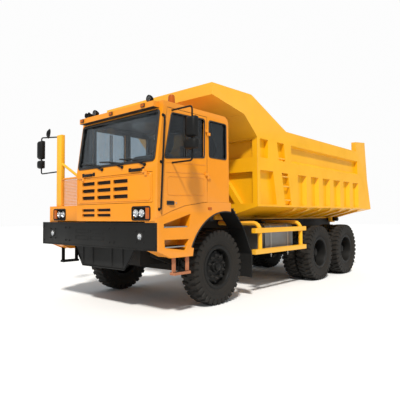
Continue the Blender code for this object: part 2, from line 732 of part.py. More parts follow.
# ---- Cab ----------------------------------------------------------------------
SILL = [
    (-1.60, CAB_FLOOR - 0.262),
    (-1.28, CAB_FLOOR - 0.147),
    (-1.0, CAB_FLOOR - 0.068),
    (-0.585, CAB_FLOOR - 0.010),
    (-0.30, CAB_FLOOR),
]
LID_X = (CAB_RIGHT + 0.025, CAB_LEFT - 0.106)
LID_Z = (CAB_FLOOR - 0.016, CAB_FLOOR + 0.418)
LID_THICK = 0.035
FRONT_FOOT = BUMPER_TOP + 0.018
DASH_WALL = CAB_FRONT + 0.17
SCREEN_X = (CAB_RIGHT + 0.05, CAB_LEFT - 0.07)
SCREEN_Z = (SCREEN_FOOT + 0.06, SCREEN_HEAD - 0.035)


def screen_y(z):
    """The outer face of the leaning windscreen wall at a height."""
    return CAB_FRONT + SCREEN_LEAN * max(0, z - SCREEN_FOOT) / (SCREEN_HEAD - SCREEN_FOOT)


def sill_z(y):
    """The height of the seam between the cab and the fender."""
    for (y0, z0), (y1, z1) in zip(SILL, SILL[1:]):
        if y <= y1:
            return z0 + (z1 - z0) * (y - y0) / (y1 - y0)
    return SILL[-1][1]


def lifted(points, rise):
    return [(y, z + rise) for y, z in points]


def cab_outline(inset):
    """The cab's side outline, or its hollow at a wall's thickness inside it."""
    rear, roof = CAB_REAR - inset, ROOF - inset
    top = [(rear, roof - 0.10), (rear - 0.035, roof - 0.035), (rear - 0.10, roof)]
    if inset:
        front = [
            (screen_y(SCREEN_HEAD) + inset, roof),
            (screen_y(SCREEN_HEAD) + inset, SCREEN_HEAD),
            (CAB_FRONT + inset, SCREEN_FOOT),
            (CAB_FRONT + inset, SCREEN_FOOT - 0.04),
            (DASH_WALL, SCREEN_FOOT - 0.08),
            (DASH_WALL, sill_z(DASH_WALL) + inset),
        ]
    else:
        front = [
            (screen_y(SCREEN_HEAD), roof),
            (screen_y(SCREEN_HEAD), SCREEN_HEAD),
            (CAB_FRONT, SCREEN_FOOT),
            (CAB_FRONT, FRONT_FOOT),
            (DASH_WALL, FRONT_FOOT),
            (DASH_WALL, sill_z(DASH_WALL)),
        ]
    floor = lifted([point for point in SILL if point[0] > DASH_WALL], inset)
    return top + front + floor + [(rear, CAB_FLOOR + inset)]


DOOR_FRONT = CAB_FRONT + 0.08
DOOR_TOP = ROOF - 0.085


def door_outline(gap):
    """The left door: its front edge follows the leaning screen and its foot the fender's seam."""
    foot = [(y, z + gap) for y, z in SILL if DOOR_FRONT < y < DOOR_REAR]
    return (
        [(DOOR_FRONT + gap, sill_z(DOOR_FRONT) + gap)]
        + foot
        + [
            (DOOR_REAR - gap, sill_z(DOOR_REAR) + gap),
            (DOOR_REAR - gap, DOOR_TOP - gap),
            (DOOR_FRONT + SCREEN_LEAN + gap, DOOR_TOP - gap),
            (DOOR_FRONT + gap + 0.01, SCREEN_FOOT + 0.05),
        ]
    )


def right_door_outline(gap):
    """The right door, over the platform: shorter and straight-sided."""
    low, high = DECK + 0.05 + gap, DOOR_TOP - gap
    front, rear = DOOR_RIGHT_FRONT + gap, DOOR_REAR - gap
    return [(front, low), (rear, low), (rear, high), (front, high)]


WINDOW_FOOT = ROOF - 0.80
WINDOW_TOP = ROOF - 0.145
LEFT_WINDOW = [
    (DOOR_FRONT + 0.065, WINDOW_FOOT - 0.04),
    (DOOR_REAR - 0.066, WINDOW_FOOT + 0.05),
    (DOOR_REAR - 0.058, WINDOW_TOP + 0.01),
    (DOOR_FRONT + 0.21, WINDOW_TOP - 0.01),
]
RIGHT_WINDOW = [
    (DOOR_RIGHT_FRONT + 0.08, WINDOW_FOOT),
    (DOOR_REAR - 0.066, WINDOW_FOOT + 0.03),
    (DOOR_REAR - 0.066, WINDOW_TOP),
    (DOOR_RIGHT_FRONT + 0.08, WINDOW_TOP),
]
QUARTER_WINDOW = [
    (DOOR_REAR + 0.05, WINDOW_FOOT + 0.07),
    (CAB_REAR - 0.07, WINDOW_FOOT + 0.07),
    (CAB_REAR - 0.07, WINDOW_TOP + 0.01),
    (DOOR_REAR + 0.05, WINDOW_TOP + 0.01),
]
REAR_WINDOW = ((0.05, WINDOW_FOOT + 0.10), (1.05, WINDOW_TOP))


def shrunk(outline, gap):
    """A convex outline drawn in by a gap on every side."""
    middle = sum((Vector(point) for point in outline), Vector((0, 0))) / len(outline)
    points = []
    for point in outline:
        offset = Vector(point) - middle
        inward = Vector((math.copysign(gap, offset.x), math.copysign(gap, offset.y)))
        points.append(tuple(Vector(point) - inward))
    return points


HINGE_RADIUS = 0.012
HINGE_OUT = 0.015
HINGE_LEVELS = (CAB_FLOOR + 0.42, CAB_FLOOR + 1.12)
HINGE_HEIGHT = 0.05


def hinge_leaf(name, wall_x, sign, level, towards):
    """Half a door hinge: a round knuckle on the hinge line, a tongue and a plate on one side of it."""
    x = wall_x + sign * HINGE_OUT
    foot = Vector((x, DOOR_REAR, level))
    knuckle_bar = bar(name, foot, foot + Vector((0, 0, HINGE_HEIGHT)), HINGE_RADIUS)
    pieces = [knuckle_bar]
    for label, inner, start, inset in (("tongue", 0.003, 0.0, 0.001), ("plate", -0.01, RUN_GAP, 0.002)):
        xs = sorted((wall_x + sign * inner, x + sign * (HINGE_RADIUS - 5 * inset)))
        ys = sorted((DOOR_REAR + towards * start, DOOR_REAR + towards * (0.06 + inset)))
        low = (xs[0], ys[0], level + inset)
        pieces.append(box(f"{name}_{label}", low, (xs[1], ys[1], level + HINGE_HEIGHT - inset)))
    return pieces


def door(name, sign, wall_x, outline, window):
    """A door as thick as the cab's wall, with its window cut and its hinge leaves."""
    wall = sorted((wall_x, wall_x - sign * CAB_WALL))
    obj = prism(name, "X", outline, *wall, ORANGE)
    cut(obj, prism(name + "_window", "X", window, wall[0] - 0.05, wall[1] + 0.05))
    for number, level in enumerate(HINGE_LEVELS):
        join(obj, *hinge_leaf(f"{name}_hinge_{number}", wall_x, sign, level, -1))
    return pivot(obj, (wall_x + sign * HINGE_OUT, DOOR_REAR, outline[0][1]))


def pane(name, window, wall_x, sign):
    """A pane in the middle of a side wall."""
    middle = wall_x - sign * CAB_WALL / 2
    return prism(name, "X", shrunk(window, SEAT_GAP), middle - PANE / 2, middle + PANE / 2, GLASS)


GRILLE_COLUMNS = [(-0.283 + 0.421 * i, -0.283 + 0.421 * i + 0.357) for i in range(3)]
GRILLE_ROWS = [(LID_Z[0] + 0.07 + 0.117 * i, LID_Z[0] + 0.135 + 0.117 * i) for i in range(3)]
LOWER_ROWS = [(FRONT_FOOT + 0.071 + 0.082 * i, FRONT_FOOT + 0.123 + 0.082 * i) for i in range(2)]


def slots(name, columns, rows, low_y, high_y):
    """Cutters for a grid of straight slots."""
    return [
        box(f"{name}_{column}_{row}", (x[0], low_y, z[0]), (x[1], high_y, z[1]))
        for column, x in enumerate(columns)
        for row, z in enumerate(rows)
    ]


def cab_shell():
    """The hollow cab with its door, window and lid openings, and the visor over the screen."""
    shell = prism("cab_shell", "X", cab_outline(0), CAB_RIGHT, CAB_LEFT, ORANGE)
    hollow = prism("cab_hollow", "X", cab_outline(CAB_WALL), CAB_RIGHT + CAB_WALL, CAB_LEFT - CAB_WALL)
    pocket = box(
        "front_pocket",
        (LID_X[0] + 0.02, CAB_FRONT + LID_THICK, FRONT_FOOT + 0.04),
        (LID_X[1] - 0.02, DASH_WALL - 0.05, LID_Z[1] - 0.03),
    )
    lid_hole = box(
        "lid_hole",
        (LID_X[0] - RUN_GAP, CAB_FRONT - 0.1, LID_Z[0] - RUN_GAP),
        (LID_X[1] + RUN_GAP, CAB_FRONT + LID_THICK + RUN_GAP, LID_Z[1] + RUN_GAP),
    )
    screen = box(
        "screen_hole",
        (SCREEN_X[0], CAB_FRONT - 0.1, SCREEN_Z[0]),
        (SCREEN_X[1], CAB_FRONT + 0.28, SCREEN_Z[1]),
    )
    below = [(CAB_FRONT - 0.1, 0.5)] + [(CAB_REAR + 0.1, 0.5), (CAB_REAR + 0.1, CAB_FLOOR)] + SILL[::-1]
    sill_cut = prism("sill_cut", "X", below, CAB_LEFT - CAB_WALL - RUN_GAP, CAB_LEFT + 0.1)
    foot = [(y, z - 0.02) for y, z in door_outline(0)[:-4]]
    opening = foot + [(DOOR_REAR, sill_z(DOOR_REAR) - 0.02)] + door_outline(0)[-3:]
    left = prism("left_doorway", "X", opening, CAB_LEFT - CAB_WALL - RUN_GAP, CAB_LEFT + 0.1)
    right = prism("right_doorway", "X", right_door_outline(0), CAB_RIGHT - 0.1, CAB_RIGHT + CAB_WALL + 0.05)
    quarter = prism("quarter_holes", "X", QUARTER_WINDOW, CAB_RIGHT - 0.1, CAB_LEFT + 0.1)
    rear = box(
        "rear_hole",
        (REAR_WINDOW[0][0], CAB_REAR - 0.12, REAR_WINDOW[0][1]),
        (REAR_WINDOW[1][0], CAB_REAR + 0.1, REAR_WINDOW[1][1]),
    )
    cut(shell, hollow, pocket, lid_hole, screen, sill_cut, left, right, quarter, rear)
    cut(shell, *slots("lower_slot", GRILLE_COLUMNS[:2], LOWER_ROWS, CAB_FRONT - 0.1, CAB_FRONT + 0.06))
    visor = box(
        "roof_visor",
        (CAB_RIGHT + VISOR_INSET, VISOR_FRONT, SCREEN_HEAD + 0.005),
        (CAB_LEFT - VISOR_INSET, screen_y(SCREEN_HEAD) + 0.01, SCREEN_HEAD + 0.005 + VISOR_HEIGHT),
    )
    join(shell, visor)
    for wall_x, sign, side in ((CAB_LEFT, 1, "left"), (CAB_RIGHT, -1, "right")):
        for number, level in enumerate(HINGE_LEVELS):
            low = level - HINGE_HEIGHT - SEAT_GAP
            join(shell, *hinge_leaf(f"jamb_hinge_{side}_{number}", wall_x, sign, low, 1))
    return shell


cab_shell()
door("door_left", 1, CAB_LEFT, door_outline(RUN_GAP), LEFT_WINDOW)
door("door_right", -1, CAB_RIGHT, right_door_outline(RUN_GAP), RIGHT_WINDOW)
pane("door_glass_left", LEFT_WINDOW, CAB_LEFT, 1)
pane("door_glass_right", RIGHT_WINDOW, CAB_RIGHT, -1)
pane("quarter_glass_left", QUARTER_WINDOW, CAB_LEFT, 1)
pane("quarter_glass_right", QUARTER_WINDOW, CAB_RIGHT, -1)
box(
    "rear_glass",
    (REAR_WINDOW[0][0] + SEAT_GAP, CAB_REAR - 0.028, REAR_WINDOW[0][1] + SEAT_GAP),
    (REAR_WINDOW[1][0] - SEAT_GAP, CAB_REAR - 0.022, REAR_WINDOW[1][1] - SEAT_GAP),
    GLASS,
)
screen_foot, screen_head = SCREEN_Z[0] + SEAT_GAP, SCREEN_Z[1] - SEAT_GAP
prism(
    "windscreen",
    "X",
    [
        (screen_y(screen_foot) + 0.015, screen_foot),
        (screen_y(screen_foot) + 0.015 + PANE, screen_foot),
        (screen_y(screen_head) + 0.015 + PANE, screen_head),
        (screen_y(screen_head) + 0.015, screen_head),
    ],
    SCREEN_X[0] + SEAT_GAP,
    SCREEN_X[1] - SEAT_GAP,
    GLASS,
)

LID_HINGE = Vector((0, CAB_FRONT - 0.012, LID_Z[1] + 0.006))
lid = box("grille_lid", (LID_X[0], CAB_FRONT, LID_Z[0]), (LID_X[1], CAB_FRONT + LID_THICK, LID_Z[1]), ORANGE)
cut(lid, *slots("grille_slot", GRILLE_COLUMNS, GRILLE_ROWS, CAB_FRONT - 0.1, CAB_FRONT + 0.1))
for number, x in enumerate((LID_X[0] + 0.15, LID_X[1] - 0.15)):
    start = Vector((x, LID_HINGE.y, LID_HINGE.z))
    tongue = box(
        f"lid_tongue_{number}",
        (x, LID_HINGE.y - 0.006, LID_HINGE.z - 0.05),
        (x + 0.05, CAB_FRONT - 0.003, LID_HINGE.z),
    )
    leaf = box(
        f"lid_leaf_{number}",
        (x, LID_HINGE.y - 0.006, LID_HINGE.z - 0.05),
        (x + 0.05, CAB_FRONT + 0.01, LID_HINGE.z - 0.011),
    )
    join(lid, bar(f"lid_knuckle_{number}", start, start + Vector((0.05, 0, 0)), 0.01), tongue, leaf)
    fixed = start - Vector((0.05 + SEAT_GAP, 0, 0))
    jamb = box(
        f"lid_jamb_{number}",
        (fixed.x, LID_HINGE.y, LID_HINGE.z),
        (fixed.x + 0.05, CAB_FRONT + 0.01, LID_HINGE.z + 0.05),
    )
    shell = bpy.data.objects["cab_shell"]
    join(shell, bar(f"lid_fixed_knuckle_{number}", fixed, fixed + Vector((0.05, 0, 0)), 0.01), jamb)
pivot(lid, LID_HINGE)


# ---- Inside the cab -----------------------------------------------------------
FLOOR_TOP = CAB_FLOOR + CAB_WALL
SEAT_WIDTH = 0.50
SEAT_REAR = CAB_REAR - CAB_WALL - 0.16


def seat(name, x):
    """A seat: pedestal, cushion and backrest."""
    half = SEAT_WIDTH / 2
    front = SEAT_REAR - 0.56
    underside = FLOOR_TOP + 0.22
    low, high = (x - 0.17, front + 0.06, FLOOR_TOP + SEAT_GAP), (x + 0.17, SEAT_REAR - 0.14, FLOOR_TOP + 0.24)
    obj = box(name, low, high, CLOTH)
    low, high = (x - half, front, underside), (x + half, SEAT_REAR - 0.06, FLOOR_TOP + 0.38)
    cushion = box(name + "_cushion", low, high)
    low, high = (x - half, SEAT_REAR - 0.15, underside), (x + half, SEAT_REAR, FLOOR_TOP + 0.98)
    back = box(name + "_back", low, high)
    return join(obj, cushion, back)


seat("driver_seat", 1.05)
seat("passenger_seat", 0.05)

WHEEL_HUB = Vector((1.05, DASH_WALL + 0.47, FLOOR_TOP + 0.62))
dash = box(
    "dashboard",
    (CAB_RIGHT + CAB_WALL + 0.01, DASH_WALL + SEAT_GAP, SCREEN_FOOT - 0.36),
    (CAB_LEFT - CAB_WALL - 0.02, DASH_WALL + 0.30, SCREEN_FOOT - 0.09),
    PLASTIC,
)
lean = Vector((0, 0.55, 0.835)).normalized()
column = bar("column", WHEEL_HUB - lean * 0.42, WHEEL_HUB + lean * 0.01, 0.03)
rim_ring = [(0.23 + 0.017 * math.cos(a), 0.017 * math.sin(a)) for a in [math.pi * k / 3 for k in range(6)]]
ring = turned("steering_ring", rim_ring, WHEEL_HUB, lean, sides=18)
spokes = []
across = Vector((1, 0, 0))
for number in range(3):
    way = Matrix.Rotation(math.radians(90 + 120 * number), 3, lean) @ across
    spokes.append(bar(f"spoke_{number}", WHEEL_HUB, WHEEL_HUB + way * 0.23, 0.011, sides=6))
join(dash, column, ring, *spokes)


# ---- Bumper, fenders, platform --------------------------------------------------
bumper = box(
    "front_bumper",
    (-BUMPER_HALF, CAB_FRONT - BUMPER_PROUD, BUMPER_TOP - BUMPER_HEIGHT),
    (BUMPER_HALF, CAB_FRONT - 0.006, BUMPER_TOP),
    BLACK,
)
back_half = BUMPER_HALF - FENDER_DEPTH - 0.01
back_low = (-back_half, CAB_FRONT - 0.02, BUMPER_TOP - BUMPER_HEIGHT + 0.02)
back_high = (back_half, FRAME_FRONT - SEAT_GAP, BUMPER_TOP - 0.02)
join(bumper, box("bumper_back", back_low, back_high))

FENDER_FOOT = AXLE_HEIGHT + 0.256
FENDER_HEEL = -math.sqrt(ARCH_RADIUS**2 - 0.39**2)
FENDER_REAR = 0.145


def arch(start_angle, end_angle, steps):
    """Points round the wheel arch, from the front over the top."""
    angles = [start_angle + (end_angle - start_angle) * i / steps for i in range(steps + 1)]
    return [(-ARCH_RADIUS * math.cos(a), AXLE_HEIGHT + ARCH_RADIUS * math.sin(a)) for a in angles]


def fender_outline(front, top):
    """The side of a fender: bumper corner, step foot, wheel arch and the seam above."""
    first = math.asin(0.39 / ARCH_RADIUS)
    last = math.pi - math.acos(FENDER_REAR / ARCH_RADIUS)
    foot = [(front, FENDER_FOOT + 0.117), (front + 0.27, FENDER_FOOT), (FENDER_HEEL + 0.03, FENDER_FOOT)]
    return foot + [(FENDER_HEEL + 0.05, FENDER_FOOT + 0.12)] + arch(first, last, 6) + top


def fender(name, sign, front, top, top_seam):
    """A stepped fender box in front of the wheel, with the arch panel over the wheel."""
    outer = span(sign, BUMPER_HALF - CAB_WALL, BUMPER_HALF)
    panel = prism(name, "X", fender_outline(front, top), *outer, ORANGE)
    inner = span(sign, BUMPER_HALF - FENDER_DEPTH, BUMPER_HALF - 0.01)
    block = [
        (front + 0.01, FENDER_FOOT + 0.125),
        (front + 0.275, FENDER_FOOT + 0.01),
        (FENDER_HEEL + 0.02, FENDER_FOOT + 0.01),
        (FENDER_HEEL - 0.02, FENDER_FOOT + 0.25),
        (FENDER_HEEL - 0.02, top_seam(FENDER_HEEL) - 0.08),
        (DASH_WALL + SEAT_GAP, top_seam(DASH_WALL) - 0.08),
        (DASH_WALL + SEAT_GAP, FRONT_FOOT - SEAT_GAP),
        (front + 0.01, FRONT_FOOT - SEAT_GAP),
    ]
    join(panel, prism(name + "_box", "X", block, *inner))
    rear = FENDER_HEEL - 0.06
    upper = [
        (front + 0.136, FENDER_FOOT + 0.44),
        (rear, FENDER_FOOT + 0.445),
        (rear + 0.04, top_seam(rear) - 0.13),
        (front + 0.136, top_seam(front + 0.136) - 0.13),
    ]
    lower = [
        (front + 0.155, FENDER_FOOT + 0.155),
        (rear - 0.08, FENDER_FOOT + 0.10),
        (rear, FENDER_FOOT + 0.262),
        (front + 0.145, FENDER_FOOT + 0.27),
    ]
    reach = span(sign, BUMPER_HALF - STEP_DEPTH, BUMPER_HALF + 0.05)
    for label, outline in (("upper", upper), ("lower", lower)):
        cut(panel, prism(f"{name}_{label}_step", "X", outline, *reach))
    step_x = sign * (BUMPER_HALF - 0.06)
    level = FENDER_FOOT - 0.24
    ys = (FENDER_HEEL - 0.33, FENDER_HEEL - 0.04)
    for number, y in enumerate(ys):
        xs = sorted((step_x - 0.012, step_x + 0.012))
        low, high = (xs[0], y - 0.03, level), (xs[1], y + 0.03, FENDER_FOOT + 0.03)
        join(panel, box(f"{name}_strap_{number}", low, high))
    low, high = (step_x - 0.05, ys[0] - 0.03, level - 0.02), (step_x + 0.05, ys[1] + 0.03, level + 0.02)
    join(panel, box(name + "_tread", low, high))
    return panel


FENDER_FRONT = CAB_FRONT - 0.005
left_top = [(FENDER_REAR, CAB_FLOOR - SEAT_GAP)]
left_top += [(y, z - SEAT_GAP) for y, z in SILL[::-1] if y > FENDER_FRONT]
left_top += [(FENDER_FRONT, sill_z(FENDER_FRONT) - SEAT_GAP)]
fender("fender_left", 1, FENDER_FRONT, left_top, sill_z)

DECK_UNDER = DECK - DECK_THICK
right_top = [(FENDER_REAR, DECK_UNDER - SEAT_GAP), (PLATFORM_FRONT, DECK_UNDER - SEAT_GAP)]
fender("fender_right", -1, PLATFORM_FRONT, right_top, lambda y: DECK_UNDER)

deck_edge = CAB_RIGHT - SEAT_GAP
platform = box(
    "platform_right",
    (-BUMPER_HALF, PLATFORM_FRONT, DECK_UNDER),
    (deck_edge, FENDER_REAR, DECK),
    ORANGE,
)
nose_end = -(BUMPER_HALF - CAB_WALL - SEAT_GAP)
nose = box(
    "platform_nose",
    (nose_end, PLATFORM_FRONT, FRONT_FOOT),
    (deck_edge, DASH_WALL, DECK_UNDER + 0.01),
)
join(platform, nose)

LAMP_X = (CAB_LEFT - 0.544, CAB_LEFT - 0.151)
LAMP_Z = (FRONT_FOOT + 0.025, FRONT_FOOT + 0.213)
lamp_left = box(
    "lamp_hole_left",
    (LAMP_X[0], CAB_FRONT - 0.1, LAMP_Z[0]),
    (LAMP_X[1], CAB_FRONT + 0.06, LAMP_Z[1]),
)
cut(bpy.data.objects["cab_shell"], lamp_left)
lamp_right = box(
    "lamp_hole_right",
    (-LAMP_X[1], PLATFORM_FRONT - 0.1, LAMP_Z[0]),
    (-LAMP_X[0], PLATFORM_FRONT + 0.1, LAMP_Z[1]),
)
cut(platform, lamp_right)

RAIL_TOP = DECK + 0.50
RAIL_TUBE = 0.018
POLE_X = -1.32
POLE_Y = PLATFORM_FRONT + 0.08
RAIL_X = -(BUMPER_HALF - 0.08)
RAIL_Y = PLATFORM_FRONT + RAIL_TUBE + 0.007
front_rail = [
    (-1.18, RAIL_Y, DECK - 0.01),
    (-1.18, RAIL_Y, RAIL_TOP),
    (CAB_RIGHT - 0.12, RAIL_Y, RAIL_TOP),
    (CAB_RIGHT - 0.12, RAIL_Y, DECK - 0.01),
]
side_rail = [
    (RAIL_X, -0.75, DECK - 0.01),
    (RAIL_X, -0.75, RAIL_TOP + 0.35),
    (RAIL_X, FENDER_REAR - 0.08, RAIL_TOP + 0.35),
    (RAIL_X, FENDER_REAR - 0.08, DECK - 0.01),
]
join(platform, tube("front_rail", rounded(front_rail, 0.06, 2), RAIL_TUBE))
join(platform, tube("side_rail", rounded(side_rail, 0.08, 2), RAIL_TUBE))
middle = DECK + 0.42
side_bar = bar("side_bar", (RAIL_X, -0.75, middle), (RAIL_X, FENDER_REAR - 0.08, middle), 0.014, sides=8)
join(platform, side_bar)


# ---- Mudguards behind the front wheels ------------------------------------------
def mudguard(name, sign):
    """A curved guard with a hanging flap, carried by a tube from the frame."""
    band = [
        (FENDER_REAR + 0.01, FRAME_TOP + 0.21),
        (0.348, FRAME_TOP + 0.21),
        (0.674, FRAME_TOP - 0.138),
        (0.889, FRAME_TOP - 0.549),
        (0.93, FRAME_TOP - 0.62),
        (0.93, AXLE_HEIGHT - 0.265),
    ]
    back = [(y - 0.02, z) for y, z in reversed(band[1:])]
    back[-1] = (0.335, FRAME_TOP + 0.19)
    outline = band + back + [(FENDER_REAR + 0.01, FRAME_TOP + 0.19)]
    guard = prism(name, "X", outline, *span(sign, 1.10, 1.45), BLACK)
    root = Vector((sign * (RAIL_OUTER_X + SEAT_GAP), 0.69, FRAME_TOP - 0.165))
    tip = Vector((sign * 1.13, 0.69, root.z))
    return join(guard, bar(name + "_stay", root, tip, 0.025))


for side, sign in sides_of("mudguard"):
    mudguard(side, sign)


# ---- Mirrors --------------------------------------------------------------------
ARM_TUBE = 0.014


def mirror_head(name, low, high):
    """A mirror case with rounded corners."""
    case = box(name, low, high)
    bevel = case.modifiers.new("round", "BEVEL")
    bevel.width = 0.02
    bevel.segments = 2
    return case


def mirror_arm(name, points):
    return tube(name, rounded(points, 0.05, 3), ARM_TUBE)


pole = box(
    "mirror_pole",
    (POLE_X - 0.08, POLE_Y - 0.04, DECK + SEAT_GAP),
    (POLE_X + 0.08, POLE_Y + 0.04, DECK + 1.35),
    YELLOW,
)
brace = [
    (POLE_X, POLE_Y, DECK + 0.83),
    (CAB_RIGHT - 0.10, POLE_Y + 0.02, DECK + 0.42),
    (CAB_RIGHT - SEAT_GAP, POLE_Y + 0.02, DECK + 0.42),
]
join(pole, tube("pole_brace", [Vector(point) for point in brace], 0.025))
RIGHT_MIRROR_X = -2.02
MIRROR_Y = POLE_Y - 0.01
arm_top, arm_foot = DECK + 1.40, DECK + 0.66
loop = [
    (POLE_X, POLE_Y, DECK + 1.32),
    (RIGHT_MIRROR_X, MIRROR_Y, arm_top),
    (RIGHT_MIRROR_X, MIRROR_Y, arm_foot),
    (POLE_X, POLE_Y, arm_foot),
]
join(pole, mirror_arm("right_arm", loop))
join(
    pole,
    mirror_head(
        "right_main_mirror",
        (RIGHT_MIRROR_X - 0.085, MIRROR_Y - 0.07, DECK + 0.95),
        (RIGHT_MIRROR_X + 0.085, MIRROR_Y + 0.03, DECK + 1.325),
    ),
)
join(
    pole,
    mirror_head(
        "right_low_mirror",
        (RIGHT_MIRROR_X - 0.08, MIRROR_Y - 0.07, DECK + 0.765),
        (RIGHT_MIRROR_X + 0.08, MIRROR_Y + 0.03, DECK + 0.93),
    ),
)

LEFT_MIRROR_X = 1.96
LEFT_MIRROR_Y = -1.27
door_face = CAB_LEFT + SEAT_GAP
upper_level = DOOR_TOP - 0.032
lower_level = WINDOW_FOOT - 0.095
left_loop = [
    (door_face, LEFT_MIRROR_Y, upper_level),
    (LEFT_MIRROR_X, LEFT_MIRROR_Y, upper_level),
    (LEFT_MIRROR_X, LEFT_MIRROR_Y, lower_level),
    (door_face, LEFT_MIRROR_Y, lower_level),
]
left_mirror = mirror_arm("mirror_left", left_loop)
join(
    left_mirror,
    mirror_head(
        "left_main_mirror",
        (LEFT_MIRROR_X - 0.095, LEFT_MIRROR_Y - 0.07, lower_level + 0.33),
        (LEFT_MIRROR_X + 0.095, LEFT_MIRROR_Y + 0.03, lower_level + 0.63),
    ),
)
join(
    left_mirror,
    mirror_head(
        "left_low_mirror",
        (LEFT_MIRROR_X - 0.13, LEFT_MIRROR_Y - 0.07, lower_level + 0.16),
        (LEFT_MIRROR_X + 0.11, LEFT_MIRROR_Y + 0.03, lower_level + 0.31),
    ),
)


# ---- Tipping body -----------------------------------------------------------------
POST_FRONT = BODY_REAR - 1.03
CANOPY_RISE = FRAME_TOP + 1.56
FLOOR_TOP_Z = FLOOR_UNDER + FLOOR_THICK
TAIL_SLOPE = 0.333
HIGH = CANOPY_TOP + 0.5
BAND_GAP = 0.04


def floor_z(y):
    """The top of the load floor at a station: flat, then rising behind the pivot."""
    return FLOOR_TOP_Z + max(0, y - BODY_HEEL + 0.05) * TAIL_SLOPE


def body_shell():
    """The outer block of the body, from its side outline, its section and its plan."""
    outline = [
        (CANOPY_FRONT, CANOPY_TOP),
        (BODY_FRONT - 0.18, CANOPY_TOP - 0.005),
        (BODY_FRONT + 1.07, TOP_RAIL),
        (POST_FRONT, TOP_RAIL),
        (POST_FRONT, POST_TOP - 0.06),
        (BODY_REAR - 0.38, POST_TOP),
        (BODY_REAR - 0.24, FRAME_TOP + 1.085),
        (BODY_REAR, FRAME_TOP + 0.25),
        (BODY_HEEL, FLOOR_UNDER),
        (BODY_FRONT, FLOOR_UNDER),
        (BODY_FRONT, CANOPY_RISE),
        (BODY_FRONT - 0.389, CANOPY_RISE + 0.37),
        (CANOPY_FRONT, CANOPY_TOP - 0.207),
    ]
    shell = prism("dump_body", "X", outline, -BODY_HALF, BODY_HALF, YELLOW)
    section = [
        (-BODY_HALF, HIGH),
        (-BODY_HALF, SIDE_FOOT),
        (-FLAT_FLOOR_HALF, FLOOR_UNDER - 0.001),
        (FLAT_FLOOR_HALF, FLOOR_UNDER - 0.001),
        (BODY_HALF, SIDE_FOOT),
        (BODY_HALF, HIGH),
    ]
    plan = [
        (-CANOPY_HALF, CANOPY_FRONT - 0.1),
        (CANOPY_HALF, CANOPY_FRONT - 0.1),
        (BODY_HALF + 0.001, BODY_FRONT - 0.1),
        (BODY_HALF + 0.001, BODY_REAR + 0.1),
        (-BODY_HALF - 0.001, BODY_REAR + 0.1),
        (-BODY_HALF - 0.001, BODY_FRONT - 0.1),
    ]
    common(shell, prism("body_section", "Y", section, CANOPY_FRONT - 0.2, BODY_REAR + 0.2))
    common(shell, prism("body_plan", "Z", plan, FLOOR_UNDER - 0.2, HIGH))
    return shell


def load_space():
    """The hollow of the body and of its canopy, open above and behind."""
    inner = BODY_FRONT + BODY_WALL
    tail = BODY_REAR + 0.4
    outline = [
        (CANOPY_FRONT + 0.10, HIGH),
        (CANOPY_FRONT + 0.10, CANOPY_TOP - 0.18),
        (BODY_FRONT - 0.37, CANOPY_RISE + 0.425),
        (inner, CANOPY_RISE - 0.05),
        (inner, FLOOR_TOP_Z),
        (BODY_HEEL - 0.05, FLOOR_TOP_Z),
        (tail, floor_z(tail)),
        (tail, HIGH),
    ]
    hollow = prism("load_space", "X", outline, -BODY_INNER, BODY_INNER)
    side = SIDE_FOOT + 0.08
    section = [
        (-BODY_INNER - 0.01, HIGH + 0.1),
        (-BODY_INNER - 0.01, side),
        (-FLAT_FLOOR_HALF - 0.03, FLOOR_TOP_Z - 0.001),
        (FLAT_FLOOR_HALF + 0.03, FLOOR_TOP_Z - 0.001),
        (BODY_INNER + 0.01, side),
        (BODY_INNER + 0.01, HIGH + 0.1),
    ]
    return common(hollow, prism("load_section", "Y", section, CANOPY_FRONT - 0.2, BODY_REAR + 0.6))


LADDER = (1.908, 2.160)
PANELS = (
    ((1.12, MID_BAND[1]), (1.12, TOP_BAND), (1.40, TOP_BAND), (1.40, MID_BAND[1])),
    ((1.80, MID_BAND[1]), (1.737, TOP_BAND), (2.002, TOP_BAND), (2.06, MID_BAND[1])),
    ((1.12, SIDE_FOOT + BAND_GAP), (1.12, MID_BAND[0]), (1.58, MID_BAND[0]), (1.71, SIDE_FOOT + BAND_GAP)),
    (
        (LADDER[0] + 0.13, SIDE_FOOT + BAND_GAP),
        (LADDER[0], MID_BAND[0]),
        (LADDER[1], MID_BAND[0]),
        (LADDER[1] + 0.13, SIDE_FOOT + BAND_GAP),
    ),
)
RIB_COUNT = 6
FIRST_PANEL = 2.578
PANEL_WIDTH = 0.385
RIB_BEVEL = 0.045
LONG_PANEL = (2.30, POST_FRONT + 0.09)


def side_recesses(sign):
    """Cutters for one side's panels, which leave its bands, posts and tapered ribs standing."""
    outer = span(sign, BODY_HALF - RECESS, BODY_HALF + 0.1)
    found = [prism(f"panel_{sign}_{i}", "X", outline, *outer) for i, outline in enumerate(PANELS)]
    deep, proud = sign * (BODY_HALF - RECESS), sign * (BODY_HALF + 0.01)
    for number in range(RIB_COUNT):
        start = FIRST_PANEL + number * RIB_PITCH
        end = start + PANEL_WIDTH
        plan = [(proud, start - 0.005), (proud, end + 0.005)]
        plan += [(deep, end - RIB_BEVEL), (deep, start + RIB_BEVEL)]
        found.append(prism(f"rib_{sign}_{number}", "Z", plan, SIDE_FOOT + BAND_GAP, MID_BAND[0]))
    section = [
        (proud, MID_BAND[1] - 0.006),
        (proud, TOP_BAND + 0.004),
        (deep, TOP_BAND - 0.03),
        (deep, MID_BAND[1] + 0.05),
    ]
    found.append(prism(f"long_panel_{sign}", "Y", section, *LONG_PANEL))
    return found


